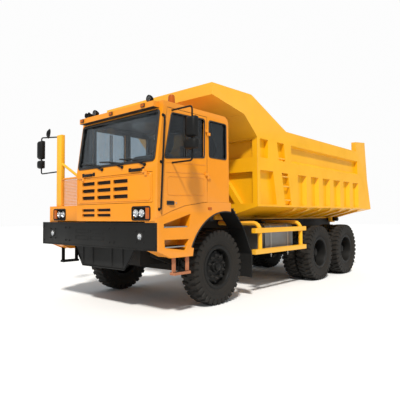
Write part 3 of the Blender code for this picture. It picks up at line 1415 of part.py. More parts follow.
def front_recesses():
    """Cutters for the front wall: a panel over the band, and three round two slanting ribs under it."""
    depth = (BODY_FRONT - 0.1, BODY_FRONT + RECESS)
    half = BODY_HALF - 0.12
    foot, head = FLOOR_UNDER + 0.24, MID_BAND[0] - 0.03
    upper = [(-half, MID_BAND[1]), (half, MID_BAND[1]), (half, TOP_BAND - 0.02), (-half, TOP_BAND - 0.02)]
    found = [prism("front_panel", "Y", upper, *depth)]
    centre = [(-0.98, foot), (0.98, foot), (0.54, head), (-0.54, head)]
    found.append(prism("front_centre", "Y", centre, *depth))
    for side, sign in sides_of("front_corner"):
        corner = [(sign * 1.13, foot), (sign * half, foot), (sign * half, head), (sign * 0.70, head)]
        found.append(prism(side, "Y", corner, *depth))
    return found


dump_body = body_shell()
cut(dump_body, load_space(), *side_recesses(1), *side_recesses(-1), *front_recesses())

SILL_REAR = TIP_PIVOT_Y - TRUNNION_RADIUS - 0.06
for side, sign in sides_of("body_sill"):
    x = span(sign, RAIL_INNER_X, RAIL_OUTER_X)
    low = (x[0], BODY_FRONT + 0.02, FRAME_TOP + RUN_GAP)
    join(dump_body, box(side, low, (x[1], SILL_REAR, FLOOR_UNDER + 0.01)))
for number in range(7):
    y = FIRST_PANEL - 0.02 + number * RIB_PITCH
    half = BODY_HALF - 0.05
    edge = SIDE_FOOT - 0.013
    beam = [
        (-half, edge + 0.01),
        (-half, edge - 0.01),
        (-half + 0.06, edge - 0.06),
        (-FLAT_FLOOR_HALF, FLOOR_UNDER - 0.045),
        (FLAT_FLOOR_HALF, FLOOR_UNDER - 0.045),
        (half - 0.06, edge - 0.06),
        (half, edge - 0.01),
        (half, edge + 0.01),
        (FLAT_FLOOR_HALF, FLOOR_UNDER + 0.015),
        (-FLAT_FLOOR_HALF, FLOOR_UNDER + 0.015),
    ]
    join(dump_body, prism(f"cross_beam_{number}", "Y", beam, y - 0.06, y + 0.06))
EAR_X = (RAIL_OUTER_X + 0.04, RAIL_OUTER_X + 0.12)
for side, sign in sides_of("tip_ear"):
    ear = [
        (TIP_PIVOT.y - 0.22, FLOOR_UNDER + 0.01),
        (TIP_PIVOT.y - 0.10, TIP_PIVOT.z - 0.09),
        (TIP_PIVOT.y + 0.10, TIP_PIVOT.z - 0.09),
        (TIP_PIVOT.y + 0.16, FLOOR_UNDER + 0.07),
        (TIP_PIVOT.y - 0.10, FLOOR_UNDER + 0.02),
    ]
    join(dump_body, prism(side, "X", ear, *span(sign, *EAR_X)))
for side, sign in sides_of("trunnion_ear"):
    x = span(sign, *TRUNNION_EAR)
    low = (x[0], HOIST_Y - 0.07, HOIST_HEAD.z - 0.08)
    join(dump_body, box(side, low, (x[1], BODY_FRONT + RECESS + 0.01, HOIST_HEAD.z + 0.08)))
tip_bore = bore(TRUNNION_RADIUS, HOIST_SIDES)
for side, sign in sides_of("tip_bore"):
    near, far = span(sign, EAR_X[0] - 0.02, EAR_X[1] + 0.02)
    start, end = Vector((near, TIP_PIVOT.y, TIP_PIVOT.z)), Vector((far, TIP_PIVOT.y, TIP_PIVOT.z))
    cut(dump_body, bar(side, start, end, tip_bore, sides=HOIST_SIDES))
head_reach = Vector((TRUNNION_EAR[1] + 0.02, 0, 0))
head_bore = bore(HOIST_PIN_RADIUS, HOIST_SIDES)
head_ends = (HOIST_HEAD - head_reach, HOIST_HEAD + head_reach)
cut(dump_body, bar("hoist_head_bore", *head_ends, head_bore, sides=HOIST_SIDES))
GATE_PIN = 0.035
gate_reach = Vector((BODY_HALF + 0.1, 0, 0))
gate_bore = bore(GATE_PIN, HOIST_SIDES)
gate_ends = (GATE_PIVOT - gate_reach, GATE_PIVOT + gate_reach)
cut(dump_body, bar("gate_bore", *gate_ends, gate_bore, sides=HOIST_SIDES))
pivot(dump_body, TIP_PIVOT)


# ---- Tailgate -----------------------------------------------------------------------
GATE_GAP = 0.02
gate_half = BODY_INNER - RUN_GAP
gate_foot = (BODY_REAR - 0.12, BODY_REAR - 0.04)
gate_outline = [
    (BODY_REAR - 0.49, FRAME_TOP + 1.80),
    (BODY_REAR - 0.41, FRAME_TOP + 1.80),
    (BODY_REAR - 0.28, FRAME_TOP + 1.085),
    (gate_foot[1], floor_z(gate_foot[1]) + GATE_GAP),
    (gate_foot[0], floor_z(gate_foot[0]) + GATE_GAP),
    (BODY_REAR - 0.36, FRAME_TOP + 1.085),
]
tailgate = prism("tailgate", "X", gate_outline, -gate_half, gate_half, YELLOW)
gate_section = [
    (-gate_half - 0.01, HIGH),
    (-gate_half - 0.01, SIDE_FOOT + 0.11),
    (-gate_half + 0.19, FLOOR_TOP_Z + 0.12),
    (gate_half - 0.19, FLOOR_TOP_Z + 0.12),
    (gate_half + 0.01, SIDE_FOOT + 0.11),
    (gate_half + 0.01, HIGH),
]
common(tailgate, prism("gate_section", "Y", gate_section, BODY_REAR - 1, BODY_REAR + 1))
for side, sign in sides_of("gate_arm"):
    arm = [
        (GATE_PIVOT.y - 0.05, GATE_PIVOT.z + 0.05),
        (GATE_PIVOT.y + 0.05, GATE_PIVOT.z + 0.05),
        (BODY_REAR - 0.42, FRAME_TOP + 1.78),
        (BODY_REAR - 0.34, FRAME_TOP + 1.30),
        (BODY_REAR - 0.38, FRAME_TOP + 1.30),
        (BODY_REAR - 0.50, FRAME_TOP + 1.72),
        (GATE_PIVOT.y - 0.05, GATE_PIVOT.z - 0.06),
    ]
    join(tailgate, prism(side, "X", arm, *span(sign, gate_half - 0.06, gate_half)))
    near, far = span(sign, gate_half - 0.03, BODY_HALF)
    start, end = Vector((near, GATE_PIVOT.y, GATE_PIVOT.z)), Vector((far, GATE_PIVOT.y, GATE_PIVOT.z))
    join(tailgate, bar(side + "_pin", start, end, GATE_PIN, sides=HOIST_SIDES))
pivot(tailgate, GATE_PIVOT)


# ---- Hoist ----------------------------------------------------------------------------
UP = Vector((0, 0, 1))
STAGE_STAGGER = 0.04
HOIST_TOP = FRAME_TOP + HOIST_TOP_RISE
COVER_FOOT = HOIST_FOOT.z + 0.20


def stage_radii(number):
    """The outer and inner radius of one nested tube: 0 is the cover."""
    outer = HOIST_RADIUS - number * (HOIST_WALL + STAGE_GAP)
    return outer, outer - HOIST_WALL


def hoist_cover():
    """The outermost tube, closed at its top, hung from the body by its two trunnions."""
    outer, inner = stage_radii(0)
    foot, head = COVER_FOOT - HOIST_HEAD.z, HOIST_TOP - HOIST_HEAD.z
    profile = [(0, head), (outer, head), (outer, foot), (inner, foot), (inner, head - 0.02), (0, head - 0.02)]
    cover = turned("hoist_cover", profile, HOIST_HEAD, UP, CHASSIS, HOIST_SIDES)
    for side, sign in sides_of("hoist_trunnion"):
        near, far = span(sign, inner + 0.007, TRUNNION_EAR[1])
        start, end = Vector((near, HOIST_HEAD.y, HOIST_HEAD.z)), Vector((far, HOIST_HEAD.y, HOIST_HEAD.z))
        join(cover, bar(side, start, end, HOIST_PIN_RADIUS, sides=HOIST_SIDES))
    return cover


def hoist_stage(number):
    """One sliding stage: a tube, or for the last a rod with the slotted eye at its foot."""
    outer, inner = stage_radii(number)
    foot = COVER_FOOT - number * STAGE_STAGGER - HOIST_FOOT.z
    head = HOIST_TOP - 0.02 - number * STAGE_STAGGER - HOIST_FOOT.z
    name = f"hoist_stage_{number}"
    if number < 3:
        profile = [(outer, head), (outer, foot), (inner, foot), (inner, head)]
        return turned(name, profile, HOIST_FOOT, UP, STEEL, HOIST_SIDES)
    profile = [(0, head), (outer, head), (outer, 0.05), (0, 0.05)]
    rod = turned(name, profile, HOIST_FOOT, UP, STEEL, HOIST_SIDES)
    low = HOIST_FOOT - Vector((0.05, 0.065, HOIST_SLOT + 0.066))
    high = HOIST_FOOT + Vector((0.05, 0.065, 0.10))
    join(rod, box("hoist_eye", low, high))
    reach, drop = Vector((0.07, 0, 0)), Vector((0, 0, HOIST_SLOT))
    room = bore(HOIST_PIN_RADIUS, HOIST_SIDES)
    foot_of_slot = HOIST_FOOT - drop
    cut(rod, bar("eye_head", HOIST_FOOT - reach, HOIST_FOOT + reach, room, sides=HOIST_SIDES))
    cut(rod, bar("eye_foot", foot_of_slot - reach, foot_of_slot + reach, room, sides=HOIST_SIDES))
    low, high = foot_of_slot - reach, HOIST_FOOT + reach
    half = room * math.cos(math.pi / HOIST_SIDES)
    cut(rod, box("eye_slot", (low.x, low.y - half, low.z), (high.x, high.y + half, high.z)))
    return rod


hoist_cover()
for number in (1, 2, 3):
    hoist_stage(number)
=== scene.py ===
"""The looks of a six-wheeled mining dump truck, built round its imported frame.

Every sub-assembly is a class: its sizes are dataclass fields and its methods build and dress its
pieces. Finishes are frozen dataclasses that make procedural materials. Metres throughout.
"""

import json
import logging
import math
from dataclasses import dataclass, field
from enum import Enum
from functools import partial
from typing import Callable, Iterable, Sequence

import bmesh
import bpy
from mathutils import Matrix, Vector

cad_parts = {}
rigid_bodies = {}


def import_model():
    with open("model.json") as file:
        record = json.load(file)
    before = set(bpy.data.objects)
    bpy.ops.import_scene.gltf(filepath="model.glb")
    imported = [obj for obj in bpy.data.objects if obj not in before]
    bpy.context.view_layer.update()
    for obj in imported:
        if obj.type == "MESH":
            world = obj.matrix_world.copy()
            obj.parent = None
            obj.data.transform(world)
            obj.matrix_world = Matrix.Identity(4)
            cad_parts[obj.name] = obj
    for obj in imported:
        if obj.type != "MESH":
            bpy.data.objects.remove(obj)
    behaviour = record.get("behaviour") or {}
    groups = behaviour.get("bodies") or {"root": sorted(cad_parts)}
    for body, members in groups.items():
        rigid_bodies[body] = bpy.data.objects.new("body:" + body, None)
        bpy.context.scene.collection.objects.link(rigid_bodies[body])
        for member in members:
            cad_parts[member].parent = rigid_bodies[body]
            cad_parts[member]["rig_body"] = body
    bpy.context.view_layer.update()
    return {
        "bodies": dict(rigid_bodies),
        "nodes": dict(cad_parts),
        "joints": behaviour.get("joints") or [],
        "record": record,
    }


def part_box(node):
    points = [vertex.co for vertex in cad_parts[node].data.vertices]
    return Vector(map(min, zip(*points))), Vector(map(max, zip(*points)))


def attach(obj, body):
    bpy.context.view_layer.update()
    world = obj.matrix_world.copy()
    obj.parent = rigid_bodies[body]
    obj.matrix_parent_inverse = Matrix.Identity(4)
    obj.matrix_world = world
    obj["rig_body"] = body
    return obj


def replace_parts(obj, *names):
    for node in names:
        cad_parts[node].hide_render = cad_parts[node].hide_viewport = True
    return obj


LOG = logging.getLogger("mining_truck")
Colour = tuple[float, float, float]
Point = Sequence[float]
Profile = tuple[tuple[float, float], ...]
Tree = bpy.types.NodeTree
Socket = bpy.types.NodeSocket


# ---- Finishes -------------------------------------------------------------------------


class Look(Enum):
    """The finishes of the truck, by what they cover."""

    CAB_PAINT = "cab_paint"
    BODY_PAINT = "body_paint"
    LINER = "load_liner"
    BLACK_PAINT = "black_paint"
    CHASSIS = "chassis_paint"
    TYRE = "tyre_rubber"
    GASKET = "gasket_rubber"
    ALUMINIUM = "tank_aluminium"
    CHROME = "rod_chrome"
    STEEL = "zinc_steel"
    GLASS = "tinted_glass"
    # glass with a darker tint, painted shade for the dim cab seen through the side panes
    DARK_GLASS = "side_glass_painted_shade"
    CLEAR = "lamp_lens"
    AMBER = "amber_lens"
    RED = "red_lens"
    # cab paint darkened as painted shade, for the left fender's lower band
    SHADED_CAB_PAINT = "cab_paint_painted_shade"
    MIRROR = "mirror_glass"
    PLASTIC = "dark_plastic"
    CLOTH = "seat_cloth"
    CURTAIN = "curtain_cloth"
    # painted shade: black fill behind slots, in hand holes and at the back of lamp holes
    DARK = "painted_shade_opening"


@dataclass(frozen=True)
class Finish:
    """A procedural surface: a colour that varies, dust that gathers low and on ledges, and a fine bump.

    Attributes:
        colour: the clean colour, linear.
        roughness: the clean roughness.
        metallic: 0 for paint and rubber, 1 for bare metal.
        coat: weight of the clear coat.
        gloss: the specular level, 0.5 for a common surface.
        grain: scale of the fine pattern, per metre.
        bump: depth of the fine pattern.
        shade: how far the colour varies, 0 to 1.
        dust: how much dust lies on it, 0 to 1.
        dust_colour: the colour of that dust.
        edge: radius of the softened edges, in metres.
        wear: how far the edges are worn paler, 0 to 1.
        transmission: 1 for glass.
        alpha: below 1 for panes that show what is behind them.
        sheen: weight of the cloth sheen.
        stretch: how the fine pattern is drawn out along X, Y and Z.
    """

    colour: Colour
    roughness: float = 0.5
    metallic: float = 0.0
    coat: float = 0.0
    gloss: float = 0.5
    grain: float = 60.0
    bump: float = 0.05
    shade: float = 0.12
    dust: float = 0.0
    dust_colour: Colour = (0.32, 0.25, 0.17)
    edge: float = 0.0
    wear: float = 0.0
    transmission: float = 0.0
    alpha: float = 1.0
    sheen: float = 0.0
    stretch: Colour = (1.0, 1.0, 1.0)

    def build(self, name: str) -> bpy.types.Material:
        """Makes the material.

        Args:
            name: the material's name.

        Returns:
            The new material.
        """
        made = bpy.data.materials.new(name)
        made.use_nodes = True
        tree = made.node_tree
        shader = tree.nodes["Principled BSDF"]
        shader.inputs["Metallic"].default_value = self.metallic
        shader.inputs["Coat Weight"].default_value = self.coat
        shader.inputs["Coat Roughness"].default_value = 0.08
        shader.inputs["Specular IOR Level"].default_value = self.gloss
        shader.inputs["Transmission Weight"].default_value = self.transmission
        shader.inputs["Alpha"].default_value = self.alpha
        shader.inputs["Sheen Weight"].default_value = self.sheen
        made.diffuse_color = (*self.colour, 1)
        place = tree.nodes.new("ShaderNodeTexCoord").outputs["Object"]
        fine = self._noise(tree, place, self.grain, self.stretch)
        broad = self._noise(tree, place, 1.7, (1, 1, 1))
        colour = self._varied(tree, broad, fine)
        if self.wear:
            colour = self._worn(tree, colour, fine)
        rough = self._ramp(tree, broad, self.roughness * 0.85, min(1.0, self.roughness * 1.15))
        if self.dust:
            colour, rough = self._dusted(tree, place, broad, colour, rough)
        tree.links.new(colour, shader.inputs["Base Color"])
        tree.links.new(rough, shader.inputs["Roughness"])
        self._relief(tree, fine, shader)
        return made

    @staticmethod
    def _noise(tree: Tree, place: Socket, scale: float, stretch: Colour) -> Socket:
        """A noise pattern in the truck's own coordinates.

        Args:
            tree: the material's nodes.
            place: the coordinates.
            scale: repeats per metre.
            stretch: factors along X, Y and Z.

        Returns:
            The pattern's value socket.
        """
        mapping = tree.nodes.new("ShaderNodeMapping")
        mapping.inputs["Scale"].default_value = stretch
        pattern = tree.nodes.new("ShaderNodeTexNoise")
        pattern.inputs["Scale"].default_value = scale
        pattern.inputs["Detail"].default_value = 5
        tree.links.new(place, mapping.inputs["Vector"])
        tree.links.new(mapping.outputs["Vector"], pattern.inputs["Vector"])
        return pattern.outputs["Fac"]

    @staticmethod
    def _ramp(tree: Tree, value: Socket, low: float, high: float) -> Socket:
        """Spreads a pattern's middle over a range of values.

        Args:
            tree: the material's nodes.
            value: the pattern.
            low: the value at its low end.
            high: the value at its high end.

        Returns:
            The ranged value's socket.
        """
        spread = tree.nodes.new("ShaderNodeMapRange")
        spread.inputs["From Min"].default_value = 0.35
        spread.inputs["From Max"].default_value = 0.65
        spread.inputs["To Min"].default_value = low
        spread.inputs["To Max"].default_value = high
        tree.links.new(value, spread.inputs["Value"])
        return spread.outputs["Result"]

    @staticmethod
    def _mix(tree: Tree, factor: Socket, first: Socket | Colour, second: Socket | Colour) -> Socket:
        """Mixes two colours, each a socket or three numbers.

        Args:
            tree: the material's nodes.
            factor: how much of the second.
            first: the first colour.
            second: the second colour.

        Returns:
            The mixed colour's socket.
        """
        mix = tree.nodes.new("ShaderNodeMix")
        mix.data_type = "RGBA"
        tree.links.new(factor, mix.inputs[0])
        for socket, value in ((mix.inputs[6], first), (mix.inputs[7], second)):
            if isinstance(value, Socket):
                tree.links.new(value, socket)
            else:
                socket.default_value = (*value, 1)
        return mix.outputs[2]

    def _varied(self, tree: Tree, broad: Socket, fine: Socket) -> Socket:
        """The clean colour, a little darker in broad patches and finer specks.

        Args:
            tree: the material's nodes.
            broad: the broad pattern.
            fine: the fine pattern.

        Returns:
            The colour's socket.
        """
        darker = tuple(channel * (1 - self.shade) for channel in self.colour)
        patches = self._ramp(tree, broad, 0.0, 1.0)
        first = self._mix(tree, patches, self.colour, darker)
        speck = self._ramp(tree, fine, 0.0, self.shade)
        return self._mix(tree, speck, first, tuple(channel * 0.6 for channel in self.colour))

    def _worn(self, tree: Tree, colour: Socket, fine: Socket) -> Socket:
        """Paler, rubbed edges.

        Args:
            tree: the material's nodes.
            colour: the colour so far.
            fine: the fine pattern, which breaks the edge up.

        Returns:
            The colour's socket.
        """
        geometry = tree.nodes.new("ShaderNodeNewGeometry")
        edge = tree.nodes.new("ShaderNodeMapRange")
        edge.inputs["From Min"].default_value = 0.53
        edge.inputs["From Max"].default_value = 0.60
        edge.inputs["To Max"].default_value = self.wear
        tree.links.new(geometry.outputs["Pointiness"], edge.inputs["Value"])
        broken = tree.nodes.new("ShaderNodeMath")
        broken.operation = "MULTIPLY"
        tree.links.new(edge.outputs["Result"], broken.inputs[0])
        tree.links.new(fine, broken.inputs[1])
        pale = tuple(min(1.0, channel * 0.5 + 0.3) for channel in self.colour)
        return self._mix(tree, broken.outputs[0], colour, pale)

    def _dusted(
        self, tree: Tree, place: Socket, broad: Socket, colour: Socket, rough: Socket
    ) -> tuple[Socket, Socket]:
        """Dust: thickest near the ground and on surfaces that face up.

        Args:
            tree: the material's nodes.
            place: the coordinates.
            broad: the broad pattern.
            colour: the colour so far.
            rough: the roughness so far.

        Returns:
            The colour's and the roughness's sockets.
        """
        parts = tree.nodes.new("ShaderNodeSeparateXYZ")
        tree.links.new(place, parts.inputs[0])
        low = tree.nodes.new("ShaderNodeMapRange")
        low.inputs["From Min"].default_value = 0.0
        low.inputs["From Max"].default_value = 1.9
        low.inputs["To Min"].default_value = 1.0
        low.inputs["To Max"].default_value = 0.12
        tree.links.new(parts.outputs["Z"], low.inputs["Value"])
        geometry = tree.nodes.new("ShaderNodeNewGeometry")
        facing = tree.nodes.new("ShaderNodeSeparateXYZ")
        tree.links.new(geometry.outputs["Normal"], facing.inputs[0])
        up = tree.nodes.new("ShaderNodeMath")
        up.operation = "MULTIPLY_ADD"
        up.use_clamp = True
        up.inputs[1].default_value = 0.45
        tree.links.new(facing.outputs["Z"], up.inputs[0])
        tree.links.new(low.outputs["Result"], up.inputs[2])
        patchy = tree.nodes.new("ShaderNodeMath")
        patchy.operation = "MULTIPLY"
        tree.links.new(up.outputs[0], patchy.inputs[0])
        tree.links.new(self._ramp(tree, broad, self.dust * 0.45, self.dust), patchy.inputs[1])
        dusty = self._mix(tree, patchy.outputs[0], colour, self.dust_colour)
        duller = tree.nodes.new("ShaderNodeMix")
        tree.links.new(patchy.outputs[0], duller.inputs[0])
        tree.links.new(rough, duller.inputs[2])
        duller.inputs[3].default_value = 0.95
        return dusty, duller.outputs[0]

    def _relief(self, tree: Tree, fine: Socket, shader: bpy.types.Node) -> None:
        """Softened edges and a fine bump.

        Args:
            tree: the material's nodes.
            fine: the fine pattern.
            shader: the Principled node.
        """
        bump = tree.nodes.new("ShaderNodeBump")
        bump.inputs["Strength"].default_value = min(1.0, self.bump * 4)
        bump.inputs["Distance"].default_value = 0.002
        tree.links.new(fine, bump.inputs["Height"])
        if self.edge:
            bevel = tree.nodes.new("ShaderNodeBevel")
            bevel.samples = 4
            bevel.inputs["Radius"].default_value = self.edge
            tree.links.new(bevel.outputs["Normal"], bump.inputs["Normal"])
        tree.links.new(bump.outputs["Normal"], shader.inputs["Normal"])


FINISHES: dict[Look, Finish] = {
    Look.CAB_PAINT: Finish(
        (0.76, 0.255, 0.0015),
        0.34,
        coat=0.12,
        gloss=0.3,
        bump=0.012,
        shade=0.07,
        dust=0.04,
        edge=0.012,
        wear=0.12,
    ),
    Look.BODY_PAINT: Finish(
        (0.84, 0.405, 0.0025),
        0.42,
        coat=0.06,
        gloss=0.3,
        bump=0.03,
        shade=0.10,
        dust=0.06,
        edge=0.010,
        wear=0.2,
    ),
    Look.LINER: Finish((0.55, 0.30, 0.04), 0.6, bump=0.1, shade=0.35, dust=0.6, grain=25, wear=0.5),
    Look.BLACK_PAINT: Finish(
        (0.0055, 0.0058, 0.0058), 0.5, gloss=0.14, bump=0.03, dust=0.015, edge=0.006, wear=0.04
    ),
    Look.CHASSIS: Finish(
        (0.005, 0.005, 0.005), 0.55, gloss=0.15, bump=0.08, dust=0.05, edge=0.004, wear=0.08
    ),
    Look.TYRE: Finish(
        (0.007, 0.0066, 0.006),
        0.75,
        gloss=0.25,
        bump=0.12,
        grain=90,
        shade=0.2,
        dust=0.13,
        dust_colour=(0.10, 0.08, 0.06),
    ),
    Look.GASKET: Finish((0.006, 0.006, 0.006), 0.6, bump=0.04, dust=0.03),
    Look.ALUMINIUM: Finish(
        (0.20, 0.21, 0.215), 0.38, metallic=0.85, bump=0.06, stretch=(1, 0.08, 1), dust=0.12, edge=0.004
    ),
    Look.CHROME: Finish((0.72, 0.72, 0.73), 0.12, metallic=1.0, bump=0.01, shade=0.05, dust=0.05),
    Look.STEEL: Finish((0.33, 0.33, 0.32), 0.4, metallic=0.8, bump=0.06, dust=0.12, edge=0.002),
    Look.GLASS: Finish((0.74, 0.84, 0.90), 0.02, bump=0.0, shade=0.03, transmission=1.0, alpha=0.92),
    # darker copy of the tinted glass: its extra darkness is painted shade for the cab behind
    Look.DARK_GLASS: Finish((0.16, 0.21, 0.25), 0.02, bump=0.0, shade=0.03, transmission=1.0, alpha=0.95),
    Look.CLEAR: Finish((0.85, 0.88, 0.9), 0.05, bump=0.01, shade=0.02, transmission=0.8, alpha=0.35),
    Look.AMBER: Finish((0.40, 0.085, 0.003), 0.22, gloss=0.3, bump=0.03, shade=0.05),
    Look.RED: Finish((0.55, 0.01, 0.01), 0.12, coat=0.6, bump=0.03, shade=0.05),
    # cab paint darkened as painted shade; the dust on it is real dust
    Look.SHADED_CAB_PAINT: Finish((0.42, 0.13, 0.045), 0.7, bump=0.12, grain=70, shade=0.3, dust=0.25, edge=0.004),
    Look.MIRROR: Finish((0.82, 0.85, 0.87), 0.03, metallic=1.0, bump=0.0, shade=0.01),
    Look.PLASTIC: Finish((0.010, 0.0105, 0.011), 0.5, bump=0.09, grain=220, dust=0.05, edge=0.003),
    Look.CLOTH: Finish((0.060, 0.066, 0.072), 0.92, bump=0.16, grain=420, sheen=0.5),
    Look.CURTAIN: Finish((0.34, 0.30, 0.24), 0.9, bump=0.12, grain=300, sheen=0.4, stretch=(1, 1, 0.3)),
    # near-black painted shade for openings
    Look.DARK: Finish((0.004, 0.004, 0.004), 0.8, bump=0.02),
}

SLOTS: dict[Look, str] = {
    Look.LINER: "body_paint",
    Look.GASKET: "black_paint",
    Look.STEEL: "tank_aluminium",
    Look.CLEAR: "tinted_glass",
    Look.AMBER: "dark_plastic",
    Look.RED: "dark_plastic",
    # the painted-shade cab paint exports as plain cab paint
    Look.SHADED_CAB_PAINT: "cab_paint",
    Look.MIRROR: "rod_chrome",
    Look.CURTAIN: "seat_cloth",
    Look.DARK: "black_paint",
}


class Paints:
    """Makes each finish's material once and hands it out."""

    def __init__(self) -> None:
        """Starts with nothing made."""
        self._made: dict[Look, bpy.types.Material] = {}

    def get(self, look: Look) -> bpy.types.Material:
        """The material of a look, made on its first use.

        Args:
            look: the finish wanted.

        Returns:
            Its material.
        """
        if look not in self._made:
            self._made[look] = FINISHES[look].build(look.value)
        return self._made[look]


PAINTS = Paints()


# ---- Mesh work ------------------------------------------------------------------------


def angles_round(count: int, shift: float = 0.0) -> list[float]:
    """Equal angles round a circle, the first one shifted by a share of a step."""
    return [2 * math.pi * (step + shift) / count for step in range(count)]


def upright(left: float, right: float, y: float, foot: float, head: float) -> list[Point]:
    """The corners of an upright rectangle across Y, in order round it.

    Args:
        left: its lowest X.
        right: its highest X.
        y: its Y.
        foot: its lowest Z.
        head: its highest Z.

    Returns:
        The four corners.
    """
    return [(left, y, foot), (right, y, foot), (right, y, head), (left, y, head)]


class Shape:
    """One mesh under construction. Each method adds a form and returns the shape itself."""

    def __init__(self) -> None:
        """Starts empty."""
        self.mesh = bmesh.new()

    def block(self, low: Point, high: Point, edge: float = 0.0, turn: Matrix | None = None) -> "Shape":
        """Adds a box, with rounded edges if asked.

        Args:
            low: its lowest corner.
            high: its highest corner.
            edge: the radius of its edges.
            turn: a rotation about its middle.

        Returns:
            The shape.
        """
        low, high = Vector(low), Vector(high)
        middle = Matrix.Translation((low + high) / 2)
        spin = turn.to_4x4() if turn else Matrix.Identity(4)
        size = Matrix.Diagonal((*(high - low), 1))
        made = bmesh.ops.create_cube(self.mesh, size=1, matrix=middle @ spin @ size)
        if edge:
            edges = {line for vert in made["verts"] for line in vert.link_edges}
            bmesh.ops.bevel(
                self.mesh, geom=list(edges), offset=edge, segments=2, profile=0.5, affect="EDGES"
            )
        return self

    def _ring(self, centre: Vector, side: Vector, other: Vector, radius: float, sides: int) -> list:
        """Adds a ring of vertices.

        Args:
            centre: its middle.
            side: the direction of its first vertex.
            other: the direction a quarter turn on.
            radius: its radius.
            sides: how many vertices it has.

        Returns:
            The vertices.
        """
        arms = [side * math.cos(angle) + other * math.sin(angle) for angle in angles_round(sides)]
        return [self.mesh.verts.new(centre + arm * radius) for arm in arms]

    def lathe(self, profile: Sequence[Point], centre: Point, axis: Point, sides: int = 48) -> "Shape":
        """Adds a turned form.

        Args:
            profile: (radius, height) points, from the top down the outside.
            centre: where height is 0.
            axis: the direction of height.
            sides: how many sides it has.

        Returns:
            The shape.
        """
        axis = Vector(axis).normalized()
        side = axis.orthogonal().normalized()
        other = axis.cross(side)
        rings = []
        for radius, height in profile:
            foot = Vector(centre) + axis * height
            if radius < 1e-6:
                rings.append([self.mesh.verts.new(foot)] * sides)
                continue
            rings.append(self._ring(foot, side, other, radius, sides))
        for upper, lower in zip(rings, rings[1:]):
            for step in range(sides):
                after = (step + 1) % sides
                corners = [upper[step], lower[step], lower[after], upper[after]]
                unique = list(dict.fromkeys(corners))
                if len(unique) > 2:
                    self.mesh.faces.new(unique)
        return self

    def rod(self, start: Point, end: Point, radius: float, sides: int = 16) -> "Shape":
        """Adds a round bar with softened ends.

        Args:
            start: one end.
            end: the other end.
            radius: its radius.
            sides: how many sides it has.

        Returns:
            The shape.
        """
        start, end = Vector(start), Vector(end)
        length = (end - start).length
        soft = min(radius, length) * 0.12
        profile = [(0, length), (radius - soft, length), (radius, length - soft)]
        profile += [(radius, soft), (radius - soft, 0), (0, 0)]
        return self.lathe(profile, start, end - start, sides)

    def tube(self, points: Iterable[Point], radius: float, sides: int = 10, closed: bool = False) -> "Shape":
        """Adds a round tube along a path.

        Args:
            points: the path.
            radius: the tube's radius.
            sides: how many sides it has.
            closed: whether the path is a loop.

        Returns:
            The shape.
        """
        path = [Vector(point) for point in points]
        count = len(path)
        rings = []
        normal = None
        for index, point in enumerate(path):
            before = path[index - 1] if index or closed else point
            after = path[(index + 1) % count] if index < count - 1 or closed else point
            along = (after - before).normalized()
            across = normal - along * normal.dot(along) if normal else along.orthogonal()
            normal = across.normalized()
            other = along.cross(normal)
            rings.append(self._ring(point, normal, other, radius, sides))
        pairs = list(zip(rings, rings[1:]))
        if closed:
            pairs.append((rings[-1], rings[0]))
        for first, second in pairs:
            for step in range(sides):
                after = (step + 1) % sides
                self.mesh.faces.new((first[step], first[after], second[after], second[step]))
        if not closed:
            self.mesh.faces.new(rings[0][::-1])
            self.mesh.faces.new(rings[-1])
        return self

    def nut(self, centre: Point, axis: Point, size: float, height: float) -> "Shape":
        """Adds a hexagon bolt head on a washer.

        Args:
            centre: the middle of its foot.
            axis: the direction that it stands in.
            size: its width across the corners, roughly.
            height: its height with the washer.

        Returns:
            The shape.
        """
        axis = Vector(axis).normalized()
        washer = [(0, height * 0.3), (size * 0.72, height * 0.3), (size * 0.72, 0), (0, 0)]
        head = [(0, height), (size * 0.46, height), (size * 0.52, height * 0.85), (size * 0.52, height * 0.3)]
        self.lathe(washer, centre, axis, 12)
        return self.lathe(head, centre, axis, 6)

    def place(self, name: str, look: Look, body: str, smooth: float = 35.0) -> bpy.types.Object:
        """Finishes the mesh as a piece that rides on a body.

        Args:
            name: the piece's name.
            look: its finish.
            body: the body that it rides on.
            smooth: edges sharper than this many degrees stay sharp.

        Returns:
            The piece.
        """
        bmesh.ops.recalc_face_normals(self.mesh, faces=self.mesh.faces)
        mesh = bpy.data.meshes.new(name)
        self.mesh.to_mesh(mesh)
        self.mesh.free()
        mesh.shade_smooth()
        mesh.set_sharp_from_angle(angle=math.radians(smooth))
        mesh.materials.append(PAINTS.get(look))
        piece = bpy.data.objects.new(name, mesh)
        bpy.context.scene.collection.objects.link(piece)
        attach(piece, body)
        SLOTS.get(look, look.value)
        return piece


def rounded(points: Sequence[Point], bend: float, closed: bool = False, steps: int = 4) -> list[Vector]:
    """A path with its corners rounded.

    Args:
        points: the corners.
        bend: how far before each corner the curve starts.
        closed: whether the path is a loop.
        steps: how many pieces each curve has.

    Returns:
        The path's points.
    """
    corners = [Vector(point) for point in points]
    path = [] if closed else [corners[0]]
    spots = range(len(corners)) if closed else range(1, len(corners) - 1)
    for index in spots:
        before, corner, after = corners[index - 1], corners[index], corners[(index + 1) % len(corners)]
        start = corner + (before - corner).normalized() * bend
        end = corner + (after - corner).normalized() * bend
        for step in range(steps + 1):
            share = step / steps
            path.append(start.lerp(corner, share).lerp(corner.lerp(end, share), share))
    return path if closed else path + [corners[-1]]


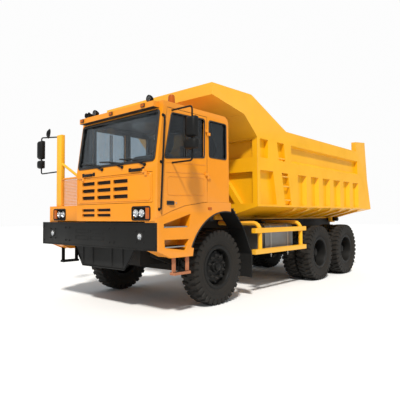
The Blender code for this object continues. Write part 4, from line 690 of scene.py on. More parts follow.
def outline_of(node: str, axis: int, high: bool = True) -> list[Vector]:
    """The corners of a flat pane's outer face, in order round it.

    Args:
        node: the pane's node.
        axis: the axis across the pane.
        high: whether the outer face is the one at the higher value.

    Returns:
        The corners.
    """
    verts = [vert.co.copy() for vert in bpy.data.objects[node].data.vertices]
    values = [vert[axis] for vert in verts]
    middle = (max(values) + min(values)) / 2
    face = {tuple(round(value, 5) for value in vert): vert for vert in verts if (vert[axis] > middle) == high}
    corners = list(face.values())
    centre = sum(corners, Vector()) / len(corners)
    one, two = [index for index in range(3) if index != axis]
    return sorted(corners, key=lambda point: math.atan2(point[two] - centre[two], point[one] - centre[one]))


@dataclass
class Station:
    """Turns a length from the front axle into the frame's own coordinates."""

    axle_y: float

    def at(self, x: float, y: float, z: float) -> Vector:
        """The point x to the left, y behind the front axle and z over the ground."""
        return Vector((x, y + self.axle_y, z))


def middle_of(node: str) -> Vector:
    """The middle of a node's box.

    Args:
        node: the node.

    Returns:
        The point.
    """
    low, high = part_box(node)
    return (low + high) / 2


# ---- Wheels ---------------------------------------------------------------------------


@dataclass
class Tyres:
    """Ten block-tread tyres that share one mesh, each in its own node's place."""

    lugs: int = 34
    steps: int = 8
    groove: float = 0.026
    bead: float = 0.326
    names: tuple[str, ...] = (
        "front_tyre",
        "mid_outer_tyre",
        "mid_inner_tyre",
        "rear_outer_tyre",
        "rear_inner_tyre",
    )

    def profile(self, outer: float, half: float) -> list[tuple[float, float, float]]:
        """(offset along the axle, radius, tread share) points from bead to bead.

        Args:
            outer: the tread's radius.
            half: half the tyre's width.

        Returns:
            The points.
        """
        side = [
            (half * 0.70, self.bead, 0.0),
            (half * 0.77, self.bead + 0.04, 0.0),
            (half * 0.86, self.bead + 0.055, 0.0),
            (half * 0.93, self.bead + 0.09, 0.0),
            (half * 0.985, self.bead + 0.13, 0.0),
            (half * 0.965, self.bead + 0.135, 0.0),
            (half * 0.99, self.bead + 0.165, 0.0),
            (half * 0.985, outer - 0.115, 0.0),
            (half * 0.98, outer - 0.095, 0.1),
            (half * 0.99, outer - 0.075, 0.9),
            (half * 0.985, outer - 0.04, 1.0),
            (half * 0.94, outer - 0.012, 1.0),
        ]
        shares = (0.82, 0.66, 0.5, 0.34, 0.2, 0.07)
        crown = [(half * share, outer - 0.010 * share**2, 1.0) for share in shares]
        one_side = side + crown
        return one_side + [(-across, radius, tread) for across, radius, tread in reversed(one_side)]

    def depth(self, step: int, share: float) -> float:
        """How deep the tread is cut at a step round the tyre.

        Args:
            step: the step round the tyre.
            share: the place across it, -1 to 1.

        Returns:
            0 on a lug and 1 in a groove.
        """
        shift = 2.6 * abs(share) + (self.steps / 2 if share > 0 else 0)
        phase = (step + shift) % self.steps
        if abs(share) < 0.15:
            return 0.0 if phase < 6 else 0.55
        return 0.0 if phase < 4.6 else 1.0

    def mesh(self, outer: float, half: float) -> bpy.types.Mesh:
        """One tyre about the origin, with its axle along X.

        Args:
            outer: the tread's radius.
            half: half the tyre's width.

        Returns:
            The mesh.
        """
        shape = bmesh.new()
        count = self.lugs * self.steps
        rings = []
        for across, radius, tread in self.profile(outer, half):
            ring = []
            for step in range(count):
                angle = 2 * math.pi * step / count
                cut = self.groove * tread * self.depth(step, across / half)
                reach = radius - cut
                pull = 1 - 0.10 * cut / self.groove if abs(across) > half * 0.9 else 1.0
                spot = (across * pull, reach * math.cos(angle), reach * math.sin(angle))
                ring.append(shape.verts.new(spot))
            rings.append(ring)
        for first, second in zip(rings, rings[1:] + rings[:1]):
            for step in range(count):
                after = (step + 1) % count
                shape.faces.new((first[step], second[step], second[after], first[after]))
        bmesh.ops.recalc_face_normals(shape, faces=shape.faces)
        mesh = bpy.data.meshes.new("tyre_mesh")
        shape.to_mesh(mesh)
        shape.free()
        mesh.shade_smooth()
        mesh.set_sharp_from_angle(angle=math.radians(32))
        mesh.materials.append(PAINTS.get(Look.TYRE))
        return mesh

    def build(self) -> None:
        """Places a tyre in each node's stead."""
        low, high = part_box("front_tyre_left")
        mesh = self.mesh((high.z - low.z) / 2 - 0.001, (high.x - low.x) / 2)
        for name in self.names:
            for side in ("left", "right"):
                node = f"{name}_{side}"
                centre = middle_of(node)
                tyre = bpy.data.objects.new(f"tread_{node}", mesh)
                bpy.context.scene.collection.objects.link(tyre)
                spin = Matrix.Rotation(math.pi if side == "right" else 0.0, 4, "Z")
                tyre.matrix_world = Matrix.Translation(centre) @ spin
                body = bpy.data.objects[node]["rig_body"]
                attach(tyre, body)
                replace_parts(tyre, node)
        LOG.info("tyres: %d lugs each", self.lugs * 2)


@dataclass
class Rims:
    """The rims with their discs, hubs, nuts and hand holes."""

    flange: float = 0.366
    seat: float = 0.3215
    inner: float = 0.300
    flange_out: float = 0.140
    nuts: int = 10
    nut_circle: float = 0.185
    spacing: float = 0.365
    holes: int = 8
    bore: float = 0.084
    front_disc: Profile = ((0.135, 0.06), (0.15, 0.075), (0.225, 0.078), (0.262, 0.055))
    front_drum: Profile = ((0.084, 0.03), (0.23, 0.03), (0.24, 0.01), (0.24, -0.10), (0.084, -0.10))
    front_hub: Profile = (
        (0, 0.148),
        (0.045, 0.146),
        (0.062, 0.138),
        (0.066, 0.10),
        (0.088, 0.096),
        (0.095, 0.085),
        (0.095, 0.055),
    )
    twin_drum: Profile = ((0.05, -0.02), (0.238, -0.02), (0.242, -0.04), (0.242, -0.285), (0.11, -0.288))
    twin_hub: Profile = (
        (0, 0.228),
        (0.06, 0.226),
        (0.082, 0.214),
        (0.09, 0.19),
        (0.10, 0.185),
        (0.118, 0.175),
        (0.122, 0.05),
        (0.14, 0.045),
        (0.14, 0.02),
        (0.05, 0.02),
    )

    def rolled_edge(self, out: float, sign: float) -> list[tuple[float, float]]:
        """A flange whose rim is rolled over, as (radius, height) points.

        Args:
            out: the height of its outer face.
            sign: +1 if it faces up the axis.

        Returns:
            The points, from the barrel's inside round to the bead's seat.
        """
        points = [(self.inner, out - sign * 0.03), (self.inner + 0.012, out - sign * 0.006)]
        points += [(self.flange - 0.012, out), (self.flange, out - sign * 0.004)]
        return points + [(self.flange, out - sign * 0.012), (self.seat, out - sign * 0.014)]

    def front(self, side: str, sign: int) -> None:
        """One steered wheel's rim.

        Args:
            side: left or right.
            sign: +1 on the left.
        """
        node = f"front_rim_{side}"
        body = bpy.data.objects[node]["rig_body"]
        centre = middle_of(f"front_tyre_{side}")
        axis = (sign, 0, 0)
        profile = [(self.bore, 0.036), (self.bore, 0.06), *self.front_disc]
        profile += [(self.inner - 0.004, 0.03), (self.inner, 0.06)]
        profile += self.rolled_edge(self.flange_out, 1) + self.rolled_edge(-self.flange_out, -1)[::-1]
        profile += [(self.inner, -0.08), (self.inner - 0.01, 0.018), (0.25, 0.036), (self.bore, 0.036)]
        rim = Shape().lathe(profile, centre, axis, 96).place(f"rim_{node}", Look.BLACK_PAINT, body)
        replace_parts(rim, node)
        Shape().lathe(self.front_drum, centre, axis, 48).place(f"drum_{node}", Look.CHASSIS, body)
        Shape().lathe(self.front_hub, centre, axis, 40).place(f"hub_{node}", Look.BLACK_PAINT, body)
        self.ring_of_nuts(node, body, centre, axis, 0.079, 0.19)
        self.hand_holes(node, body, centre, sign, 0.068)
        self.hub_bolts(node, body, centre, axis, 8, (0.077, 0.096), (0.014, 0.008))

    @staticmethod
    def hub_bolts(
        node: str,
        body: str,
        centre: Vector,
        axis: Point,
        count: int,
        place: tuple[float, float],
        size: tuple[float, float],
    ) -> None:
        """The small bolts round a hub's cap.

        Args:
            node: the rim's node.
            body: the wheel's body.
            centre: the wheel's middle.
            axis: the direction of the outside.
            count: how many there are.
            place: the circle's radius and its height along the axis.
            size: a bolt's width and height.
        """
        shape = Shape()
        for angle in angles_round(count):
            spot = Vector((axis[0] * place[1], math.cos(angle) * place[0], math.sin(angle) * place[0]))
            shape.nut(centre + spot, axis, size[0], size[1])
        shape.place(f"hub_bolts_{node}", Look.CHASSIS, body)

    def ring_of_nuts(
        self, node: str, body: str, centre: Vector, axis: Point, height: float, radius: float
    ) -> None:
        """The wheel nuts on their studs.

        Args:
            node: the rim's node.
            body: the wheel's body.
            centre: the wheel's middle.
            axis: the direction of the outside.
            height: the disc's height along the axis.
            radius: the nuts' circle.
        """
        shape = Shape()
        out = Vector(axis)
        for angle in angles_round(self.nuts, 0.5):
            foot = centre + out * height + Vector((0, math.cos(angle), math.sin(angle))) * radius
            shape.nut(foot, axis, 0.040, 0.030)
            shape.rod(foot + out * 0.02, foot + out * 0.052, 0.011, 10)
        shape.place(f"wheel_nuts_{node}", Look.CHASSIS, body)

    def hand_holes(self, node: str, body: str, centre: Vector, sign: int, height: float) -> None:
        """Raised lips round the hand holes in the disc, with dark discs in the holes as painted shade.

        Args:
            node: the rim's node.
            body: the wheel's body.
            centre: the wheel's middle.
            sign: +1 on the left.
            height: the disc's height along the axle.
        """
        lips, dark = Shape(), Shape()
        for angle in angles_round(self.holes):
            middle = centre + Vector((sign * height, math.cos(angle) * 0.245, math.sin(angle) * 0.245))
            loop = [middle + Vector((0, math.cos(a) * 0.026, math.sin(a) * 0.026)) for a in angles_round(16)]
            lips.tube(loop, 0.004, 6, closed=True)
            behind, before = Vector((sign * 0.004, 0, 0)), Vector((sign * 0.001, 0, 0))
            # a dark disc in each hole: painted shade
            dark.rod(middle - behind, middle + before, 0.025, 16)
        lips.place(f"hand_hole_lips_{node}", Look.BLACK_PAINT, body)
        dark.place(f"hand_holes_{node}", Look.DARK, body)

    def twin(self, node: str, sign: int) -> None:
        """Two deep rims face to face, with the hub reduction that stands out of them.

        Args:
            node: the twin rim's node.
            sign: +1 on the left.
        """
        body = bpy.data.objects[node]["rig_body"]
        outer = middle_of(node.replace("twin_rim", "outer_tyre"))
        axis = (sign, 0, 0)
        centre = outer - Vector((sign * self.spacing / 2, 0, 0))
        for label, shift, face in (("outer", self.spacing / 2, 1), ("inner", -self.spacing / 2, -1)):
            top, foot = shift + self.flange_out, shift - self.flange_out
            rim = [(0.10, 0.022 * face), (0.26, 0.022 * face), (self.inner - 0.006, 0.05 * face)]
            rim.append((self.inner, 0.09 * face))
            if face > 0:
                rim += self.rolled_edge(top, 1) + self.rolled_edge(foot, -1)[::-1]
            else:
                rim += self.rolled_edge(foot, -1) + self.rolled_edge(top, 1)[::-1]
            rim += [(self.inner, shift - face * 0.10), (self.inner - 0.012, 0.035 * face)]
            rim += [(0.26, 0.008 * face), (0.10, 0.008 * face)]
            piece = Shape().lathe(rim, centre, axis, 96).place(f"{label}_{node}", Look.BLACK_PAINT, body)
            if face > 0:
                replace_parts(piece, node)
        Shape().lathe(self.twin_hub, centre, axis, 48).place(f"hub_{node}", Look.BLACK_PAINT, body)
        Shape().lathe(self.twin_drum, centre, axis, 48).place(f"drum_{node}", Look.CHASSIS, body)
        self.ring_of_nuts(node, body, centre, axis, 0.022, 0.2)
        self.hub_bolts(node, body, centre, axis, 12, (0.104, 0.184), (0.015, 0.009))

    def build(self) -> None:
        """Builds all six wheels' rims."""
        for side, sign in (("left", 1), ("right", -1)):
            self.front(side, sign)
            for station in ("mid", "rear"):
                self.twin(f"{station}_twin_rim_{side}", sign)
        LOG.info("rims: %d nuts on each wheel", self.nuts)


# ---- Cab ------------------------------------------------------------------------------


@dataclass
class Glazing:
    """The panes' finish, their rubber gaskets and the door windows' sliding frames."""

    gasket: float = 0.011
    screen_gasket: float = 0.021
    screen_out: float = 0.017
    pane: float = 0.006
    corner: float = 0.045
    wall: float = 0.022
    # the side panes' darker tint is painted shade for the dim cab behind them
    side_look: Look = Look.DARK_GLASS

    def seal(self, node: str, name: str, axis: int, offset: Vector, body: str, high: bool) -> None:
        """A gasket round a pane's opening.

        Args:
            node: the pane's node.
            name: the gasket's name.
            axis: the axis across the pane.
            offset: from the pane's face to the wall's outer face.
            body: the body that it rides on.
            high: whether the outer face is at the higher value.
        """
        corners = [corner + offset for corner in outline_of(node, axis, high)]
        loop = rounded(corners, self.corner, closed=True)
        Shape().tube(loop, self.gasket, 8, closed=True).place(name, Look.GASKET, body)

    def divider(self, node: str, name: str, face: float, body: str) -> None:
        """The upright bars of a door window's two sliding panes.

        Args:
            node: the pane's node.
            name: the bars' name.
            face: the X of the pane's outer face.
            body: the body that they ride on.
        """
        low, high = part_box(node)
        middle = (low.y + high.y) / 2
        shape = Shape()
        foot, head = low.z + 0.04, high.z - 0.03
        for shift, out in ((-0.012, 0.004), (0.03, 0.010)):
            side = math.copysign(out, face)
            xs = sorted((face, face + side))
            near, far = middle + shift - 0.011, middle + shift + 0.011
            shape.block((xs[0], near, foot), (xs[1], far, head), 0.0015)
        shape.place(name, Look.GASKET, body)

    def build(self) -> None:
        """Glazes the cab."""
        # the door and quarter panes get the darker glass, whose tint is painted shade for the cab behind
        for node in ("door_glass_left", "quarter_glass_left"):
            bpy.data.objects[node].data.materials.clear()
            bpy.data.objects[node].data.materials.append(PAINTS.get(self.side_look))
        out = Vector((self.wall, 0, 0))
        self.seal("door_glass_left", "gasket_door_left", 0, out, "cab_door_left", True)
        self.seal("quarter_glass_left", "gasket_quarter_left", 0, out, "chassis", True)
        self.seal("door_glass_right", "gasket_door_right", 0, -out, "cab_door_right", False)
        self.seal("quarter_glass_right", "gasket_quarter_right", 0, -out, "chassis", False)
        self.seal("rear_glass", "gasket_rear", 1, Vector((0, self.wall, 0)), "chassis", True)
        self.windscreen()
        self.divider("door_glass_left", "slider_left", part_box("door_glass_left")[1].x, "cab_door_left")
        self.divider("door_glass_right", "slider_right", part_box("door_glass_right")[0].x, "cab_door_right")
        LOG.info("glazing: six panes with gaskets")

    def windscreen(self) -> None:
        """The wide gasket round the leaning windscreen."""
        low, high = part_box("windscreen")
        lean = high.y - low.y - self.pane
        face = low.y - self.screen_out
        corners = [
            (low.x, face, low.z),
            (high.x, face, low.z),
            (high.x, face + lean, high.z),
            (low.x, face + lean, high.z),
        ]
        loop = rounded(corners, self.corner, closed=True)
        shape = Shape().tube(loop, self.screen_gasket, 8, closed=True)
        shape.place("gasket_windscreen", Look.GASKET, "chassis")


@dataclass
class CabFront:
    """What the cab's face carries: lamps, handles, wipers, visor lamps, grille backing and panel seams."""

    marker_x: tuple[float, ...] = (-0.277, 0.508, 1.268)
    marker_rise: float = 0.085
    wiper_x: tuple[float, ...] = (0.278, 0.786, 1.302)
    handle_x: Profile = ((-0.254, 0.047), (0.964, 1.259))
    lamp_x: tuple[float, float] = (1.016, 1.409)
    lamp_z: tuple[float, float] = (0.025, 0.213)
    lid_setback: float = 0.035
    slot_left: float = -0.283
    slot_pitch: float = 0.421
    slot_width: float = 0.357

    def headlamp(self, name: str, low: Vector, high: Vector, outward: int) -> None:
        """A square lamp: black bezel, chrome bowl, two lenses, an amber corner and a dark back in its hole as
        painted shade.

        Args:
            name: the lamp's name.
            low: the lowest corner of its hole.
            high: the highest corner of its hole, at the panel's face.
            outward: +1 if its amber end is at the higher X.
        """
        face = low.y
        frame = rounded(upright(low.x, high.x, face, low.z, high.z), 0.03, closed=True)
        Shape().tube(frame, 0.013, 8, closed=True).place(f"{name}_bezel", Look.BLACK_PAINT, "chassis")
        # dark back plate in the lamp's hole: painted shade
        back = Shape().block(
            (low.x + 0.004, face + 0.03, low.z + 0.004), (high.x - 0.004, face + 0.038, high.z - 0.004)
        )
        back.place(f"{name}_back", Look.DARK, "chassis")
        width = high.x - low.x
        amber = width * 0.24
        if outward > 0:
            ends, rest = (high.x - amber, high.x - 0.008), (low.x + 0.008, high.x - amber - 0.01)
        else:
            ends, rest = (low.x + 0.008, low.x + amber), (low.x + amber + 0.01, high.x - 0.008)
        corner = Shape().block(
            (ends[0], face - 0.008, low.z + 0.01), (ends[1], face + 0.02, high.z - 0.01), 0.008
        )
        corner.place(f"{name}_indicator", Look.AMBER, "chassis")
        bowls, lenses = Shape(), Shape()
        radius = min((rest[1] - rest[0]) / 4, (high.z - low.z) / 2) - 0.012
        for share in (0.27, 0.73):
            centre = Vector((rest[0] + (rest[1] - rest[0]) * share, face, (low.z + high.z) / 2))
            bowl = [(radius, -0.002), (radius, 0.004), (radius * 0.92, 0.0)]
            bowl += [(radius * 0.75, -0.018), (radius * 0.35, -0.028), (0.0, -0.028)]
            bowls.lathe(bowl, centre, (0, -1, 0), 40)
            bulb = [(0, -0.004), (radius * 0.16, -0.008), (radius * 0.2, -0.028)]
            bowls.lathe(bulb, centre, (0, -1, 0), 20)
            lens = [(0, 0.010), (radius * 0.5, 0.008), (radius * 0.93, 0.0)]
            lenses.lathe(lens, centre, (0, -1, 0), 40)
        bowls.place(f"{name}_bowls", Look.CHROME, "chassis")
        lenses.place(f"{name}_lenses", Look.CLEAR, "chassis")

    def markers(self) -> None:
        """The three amber lamps on the visor's face."""
        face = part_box("cab_shell")[0].y
        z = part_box("windscreen")[1].z + self.marker_rise
        lamps, feet = Shape(), Shape()
        for x in self.marker_x:
            feet.block((x - 0.040, face - 0.0012, z - 0.026), (x + 0.040, face + 0.012, z + 0.026), 0.001)
            lamps.block((x - 0.032, face - 0.0030, z - 0.019), (x + 0.032, face + 0.010, z + 0.019), 0.0015)
        feet.place("marker_feet", Look.PLASTIC, "chassis")
        lamps.place("marker_lamps", Look.AMBER, "chassis")

    def handles(self, face: float, z: float) -> None:
        """The black grab handles over the lid.

        Args:
            face: the Y of the cab's face.
            z: their height.
        """
        shape = Shape()
        for left, right in self.handle_x:
            back, front = face + 0.01, face - 0.012
            path = [(left, back, z), (left, front, z), (right, front, z), (right, back, z)]
            shape.tube(rounded(path, 0.008), 0.0115, 10)
            for x in (left, right):
                shape.block((x - 0.030, face - 0.008, z - 0.030), (x + 0.030, face + 0.004, z + 0.030), 0.006)
            low, high = (left + 0.04, face - 0.024, z - 0.032), (right - 0.04, face - 0.006, z + 0.014)
            shape.block(low, high, 0.007)
        shape.place("front_handles", Look.BLACK_PAINT, "chassis")

    def wipers(self, face: float, z: float) -> None:
        """Three wipers, with their arms lying up across the glass.

        Args:
            face: the Y of the cab's face.
            z: the height of their pivots.
        """
        low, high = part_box("windscreen")
        slope = (high.y - low.y) / (high.z - low.z)
        arms, blades = Shape(), Shape()
        for x in self.wiper_x:
            root = Vector((x, face - 0.011, z))
            arms.rod((x, face + 0.01, z), root - Vector((0, 0.010, 0)), 0.024, 16)
            reach = Vector((x - 0.33, 0, low.z + 0.045))
            reach.y = low.y - 0.027 + slope * (reach.z - low.z)
            elbow = root.lerp(reach, 0.30)
            arms.tube([root, elbow], 0.0125, 8)
            arms.tube([elbow, reach], 0.009, 8)
            along = Vector((-0.30, slope * 0.035, 0.035)).normalized()
            start, end = reach - along * 0.27, reach + along * 0.27
            blades.tube([start, start.lerp(end, 0.5) + Vector((0, -0.004, 0.012)), end], 0.008, 6)
            lift = Vector((0, 0.012, -0.006))
            blades.tube([start + lift, end + lift], 0.006, 6)
        arms.place("wiper_arms", Look.BLACK_PAINT, "chassis")
        blades.place("wiper_blades", Look.GASKET, "chassis")

    def grille(self) -> None:
        """Louvres and lips in the lid's slots, and a dark sheet behind them as painted shade."""
        low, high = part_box("grille_lid")
        face = high.y - self.lid_setback
        lips, blades, shade_sheets = Shape(), Shape(), Shape()
        for column in range(3):
            for row in range(3):
                left = self.slot_left + self.slot_pitch * column
                foot = low.z + 0.07 + 0.117 * row
                self.slot(lips, shade_sheets, face, left, foot, 0.065)
                blades.block(
                    (left + 0.002, face + 0.008, foot + 0.024),
                    (left + self.slot_width - 0.002, face + 0.012, foot + 0.040),
                    turn=Matrix.Rotation(0.7, 3, "X"),
                )
        lips.place("grille_lips", Look.CAB_PAINT, "front_lid")
        blades.place("grille_louvres", Look.BLACK_PAINT, "front_lid")
        # the dark sheets behind the slots are painted shade
        shade_sheets.place("grille_slot_shade", Look.DARK, "front_lid")
        rim = upright(low.x + 0.03, high.x - 0.03, face - 0.002, low.z + 0.03, high.z - 0.03)
        rib = rounded(rim, 0.05, closed=True)
        Shape().tube(rib, 0.006, 8, closed=True).place("lid_pressing", Look.CAB_PAINT, "front_lid")

    def slot(self, lips: Shape, shade_sheets: Shape, face: float, left: float, foot: float, height: float) -> None:
        """A rolled lip round one slot, and a dark sheet behind it as painted shade.

        Args:
            lips: the mesh that the lip joins.
            shade_sheets: the mesh that the dark sheet of painted shade joins.
            face: the panel's Y.
            left: the slot's lowest X.
            foot: its lowest Z.
            height: its height.
        """
        right, head = left + self.slot_width, foot + height
        corners = upright(left, right, face, foot, head)
        lips.tube(rounded(corners, 0.012, closed=True, steps=2), 0.005, 6, closed=True)
        # dark sheet behind the slot: painted shade
        shade_sheets.block(
            (left + 0.001, face + 0.026, foot + 0.001), (right - 0.001, face + 0.030, head - 0.001)
        )

    def lower_slots(self, face: float, foot: float) -> None:
        """Lips for the slots under the lid, and a dark sheet behind them as painted shade.

        Args:
            face: the cab's front face.
            foot: the panel's lower edge.
        """
        lips, shade_sheets = Shape(), Shape()
        for column in range(2):
            for row in range(2):
                left = self.slot_left + self.slot_pitch * column
                self.slot(lips, shade_sheets, face, left, foot + 0.071 + 0.082 * row, 0.052)
        lips.place("lower_slot_lips", Look.CAB_PAINT, "chassis")
        # the dark sheets behind the lower slots are painted shade
        shade_sheets.place("lower_slot_shade", Look.DARK, "chassis")

    def build(self) -> None:
        """Builds the face's pieces."""
        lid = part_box("grille_lid")[1]
        face = lid.y - self.lid_setback
        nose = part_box("platform_right")[0].y
        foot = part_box("cab_shell")[0].z
        near, far = self.lamp_x
        low, high = foot + self.lamp_z[0], foot + self.lamp_z[1]
        self.headlamp("headlamp_left", Vector((near, face, low)), Vector((far, face, high)), 1)
        self.headlamp("headlamp_right", Vector((-far, nose, low)), Vector((-near, nose, high)), -1)
        self.markers()
        self.handles(face, lid.z + 0.04)
        self.wipers(face, lid.z + 0.10)
        self.grille()
        self.lower_slots(face, foot)
        LOG.info("cab front: lamps, wipers, handles and grille")


@dataclass
class CabSides:
    """Door handles, pressed lines, grab rails and the roof's lamps, horns and beacon."""

    spot: Station
    rail: float = 0.014

    def door(self, side: str, face: float, sign: int) -> None:
        """A door's handle, lock and pressed lines.

        Args:
            side: left or right.
            face: the X of the door's outer face.
            sign: +1 on the left.
        """
        body = f"cab_door_{side}"
        low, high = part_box(f"door_{side}")
        glass_low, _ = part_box(f"door_glass_{side}")
        front = low.y + 0.10
        handle_z = low.z + (0.19 if side == "left" else 0.10)
        xs = sorted((face - sign * 0.004, face + sign * 0.012))
        pocket = Shape().block((xs[0], front, handle_z - 0.03), (xs[1], front + 0.15, handle_z + 0.03), 0.006)
        pocket.place(f"door_pocket_{side}", Look.PLASTIC, body)
        inner, outer = face + sign * 0.012, face + sign * 0.03
        grip = [
            (inner, front + 0.02, handle_z),
            (outer, front + 0.02, handle_z),
            (outer, front + 0.13, handle_z),
            (inner, front + 0.13, handle_z),
        ]
        Shape().tube(rounded(grip, 0.012), 0.008, 8).place(f"door_grip_{side}", Look.BLACK_PAINT, body)
        lock = Vector((face, front + 0.19, handle_z))
        barrel = Shape().rod(
            lock - Vector((sign * 0.004, 0, 0)), lock + Vector((sign * 0.008, 0, 0)), 0.011, 20
        )
        barrel.place(f"door_lock_{side}", Look.CHROME, body)
        lines = Shape()
        sill = glass_low.z - 0.06
        rear = high.y - 0.07
        for level in (sill, sill - 0.14):
            lines.tube([(face, front - 0.01, level), (face, rear, level + 0.03)], 0.005, 6)
        panel = [
            (face, front + 0.01, sill - 0.20),
            (face, rear - 0.02, sill - 0.18),
            (face, rear - 0.02, low.z + 0.32),
            (face, front + 0.01, low.z + 0.30),
        ]
        lines.tube(rounded(panel, 0.06, closed=True), 0.005, 6, closed=True)
        lines.place(f"door_pressings_{side}", Look.CAB_PAINT, body)

    def pillar_rail(self) -> None:
        """The grab rail up the left front pillar, on three stand-offs."""
        head, foot = self.spot.at(1.60, -1.455, 2.96), self.spot.at(1.60, -1.535, 1.60)
        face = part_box("fender_left")[1].x
        path = [Vector((face, head.y, head.z)), head, foot, Vector((face, foot.y, foot.z))]
        shape = Shape().tube(rounded(path, 0.03), self.rail, 12)
        middle = head.lerp(foot, 0.5)
        shape.rod((face, middle.y, middle.z), middle, 0.010, 10)
        shape.place("pillar_rail", Look.BLACK_PAINT, "chassis")
        feet = Shape()
        for spot in (head, middle, foot):
            feet.rod((face - 0.002, spot.y, spot.z), (face + 0.006, spot.y, spot.z), 0.024, 16)
        feet.place("pillar_rail_feet", Look.BLACK_PAINT, "chassis")

    def beacon(self) -> None:
        """The amber beacon on its foot."""
        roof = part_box("cab_shell")[1].z
        spot = self.spot.at(1.42, -1.14, roof)
        foot = [(0, 0.022), (0.062, 0.022), (0.07, 0.010), (0.072, 0.0), (0, 0.0)]
        Shape().lathe(foot, spot, (0, 0, 1), 32).place("beacon_foot", Look.PLASTIC, "chassis")
        dome = [(0, 0.165), (0.03, 0.162), (0.045, 0.150), (0.050, 0.12), (0.057, 0.022), (0, 0.022)]
        Shape().lathe(dome, spot, (0, 0, 1), 40).place("beacon_dome", Look.AMBER, "chassis")

    def spot_lamps(self) -> None:
        """The two working lamps on the roof's front corners."""
        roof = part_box("cab_shell")[1].z
        cases, lenses, feet = Shape(), Shape(), Shape()
        for x in (1.27, -0.09):
            centre = self.spot.at(x, -1.46, roof + 0.07)
            case = [(0.0, -0.07), (0.03, -0.065), (0.05, -0.03), (0.055, 0.0), (0.055, 0.012), (0.048, 0.012)]
            cases.lathe(case[::-1], centre, (0, -1, 0), 32)
            lenses.lathe([(0, 0.012), (0.03, 0.010), (0.048, 0.006)], centre, (0, -1, 0), 32)
            feet.block(
                (x - 0.02, centre.y + 0.01, roof - 0.001), (x + 0.02, centre.y + 0.03, roof + 0.03), 0.003
            )
        cases.place("spot_lamp_cases", Look.BLACK_PAINT, "chassis")
        lenses.place("spot_lamp_lenses", Look.CLEAR, "chassis")
        feet.place("spot_lamp_feet", Look.BLACK_PAINT, "chassis")

    def horns(self) -> None:
        """Two trumpet horns at the roof's right edge."""
        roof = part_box("cab_shell")[1].z
        shape = Shape()
        for number, (x, length) in enumerate(((-0.41, 0.40), (-0.33, 0.32))):
            mouth = self.spot.at(x, -1.42, roof + 0.09)
            bell = [(0.045, 0.0), (0.032, -0.03), (0.018, -0.09), (0.012, -length), (0.0, -length)]
            shape.lathe(bell, mouth, (0, -1, 0), 24)
            shape.lathe([(0.038, -0.001), (0.0, -0.04)], mouth, (0, -1, 0), 24)
            foot = mouth + Vector((0, 0.22 + 0.04 * number, 0))
            shape.rod(foot, (foot.x, foot.y, roof - 0.001), 0.010, 10)
        shape.place("roof_horns", Look.BLACK_PAINT, "chassis")

    def build(self) -> None:
        """Builds the sides' and the roof's pieces."""
        self.door("left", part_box("fender_left")[1].x, 1)
        self.door("right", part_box("platform_right")[1].x, -1)
        self.pillar_rail()
        self.beacon()
        self.spot_lamps()
        self.horns()
        LOG.info("cab sides and roof: handles, rails, beacon, lamps and horns")


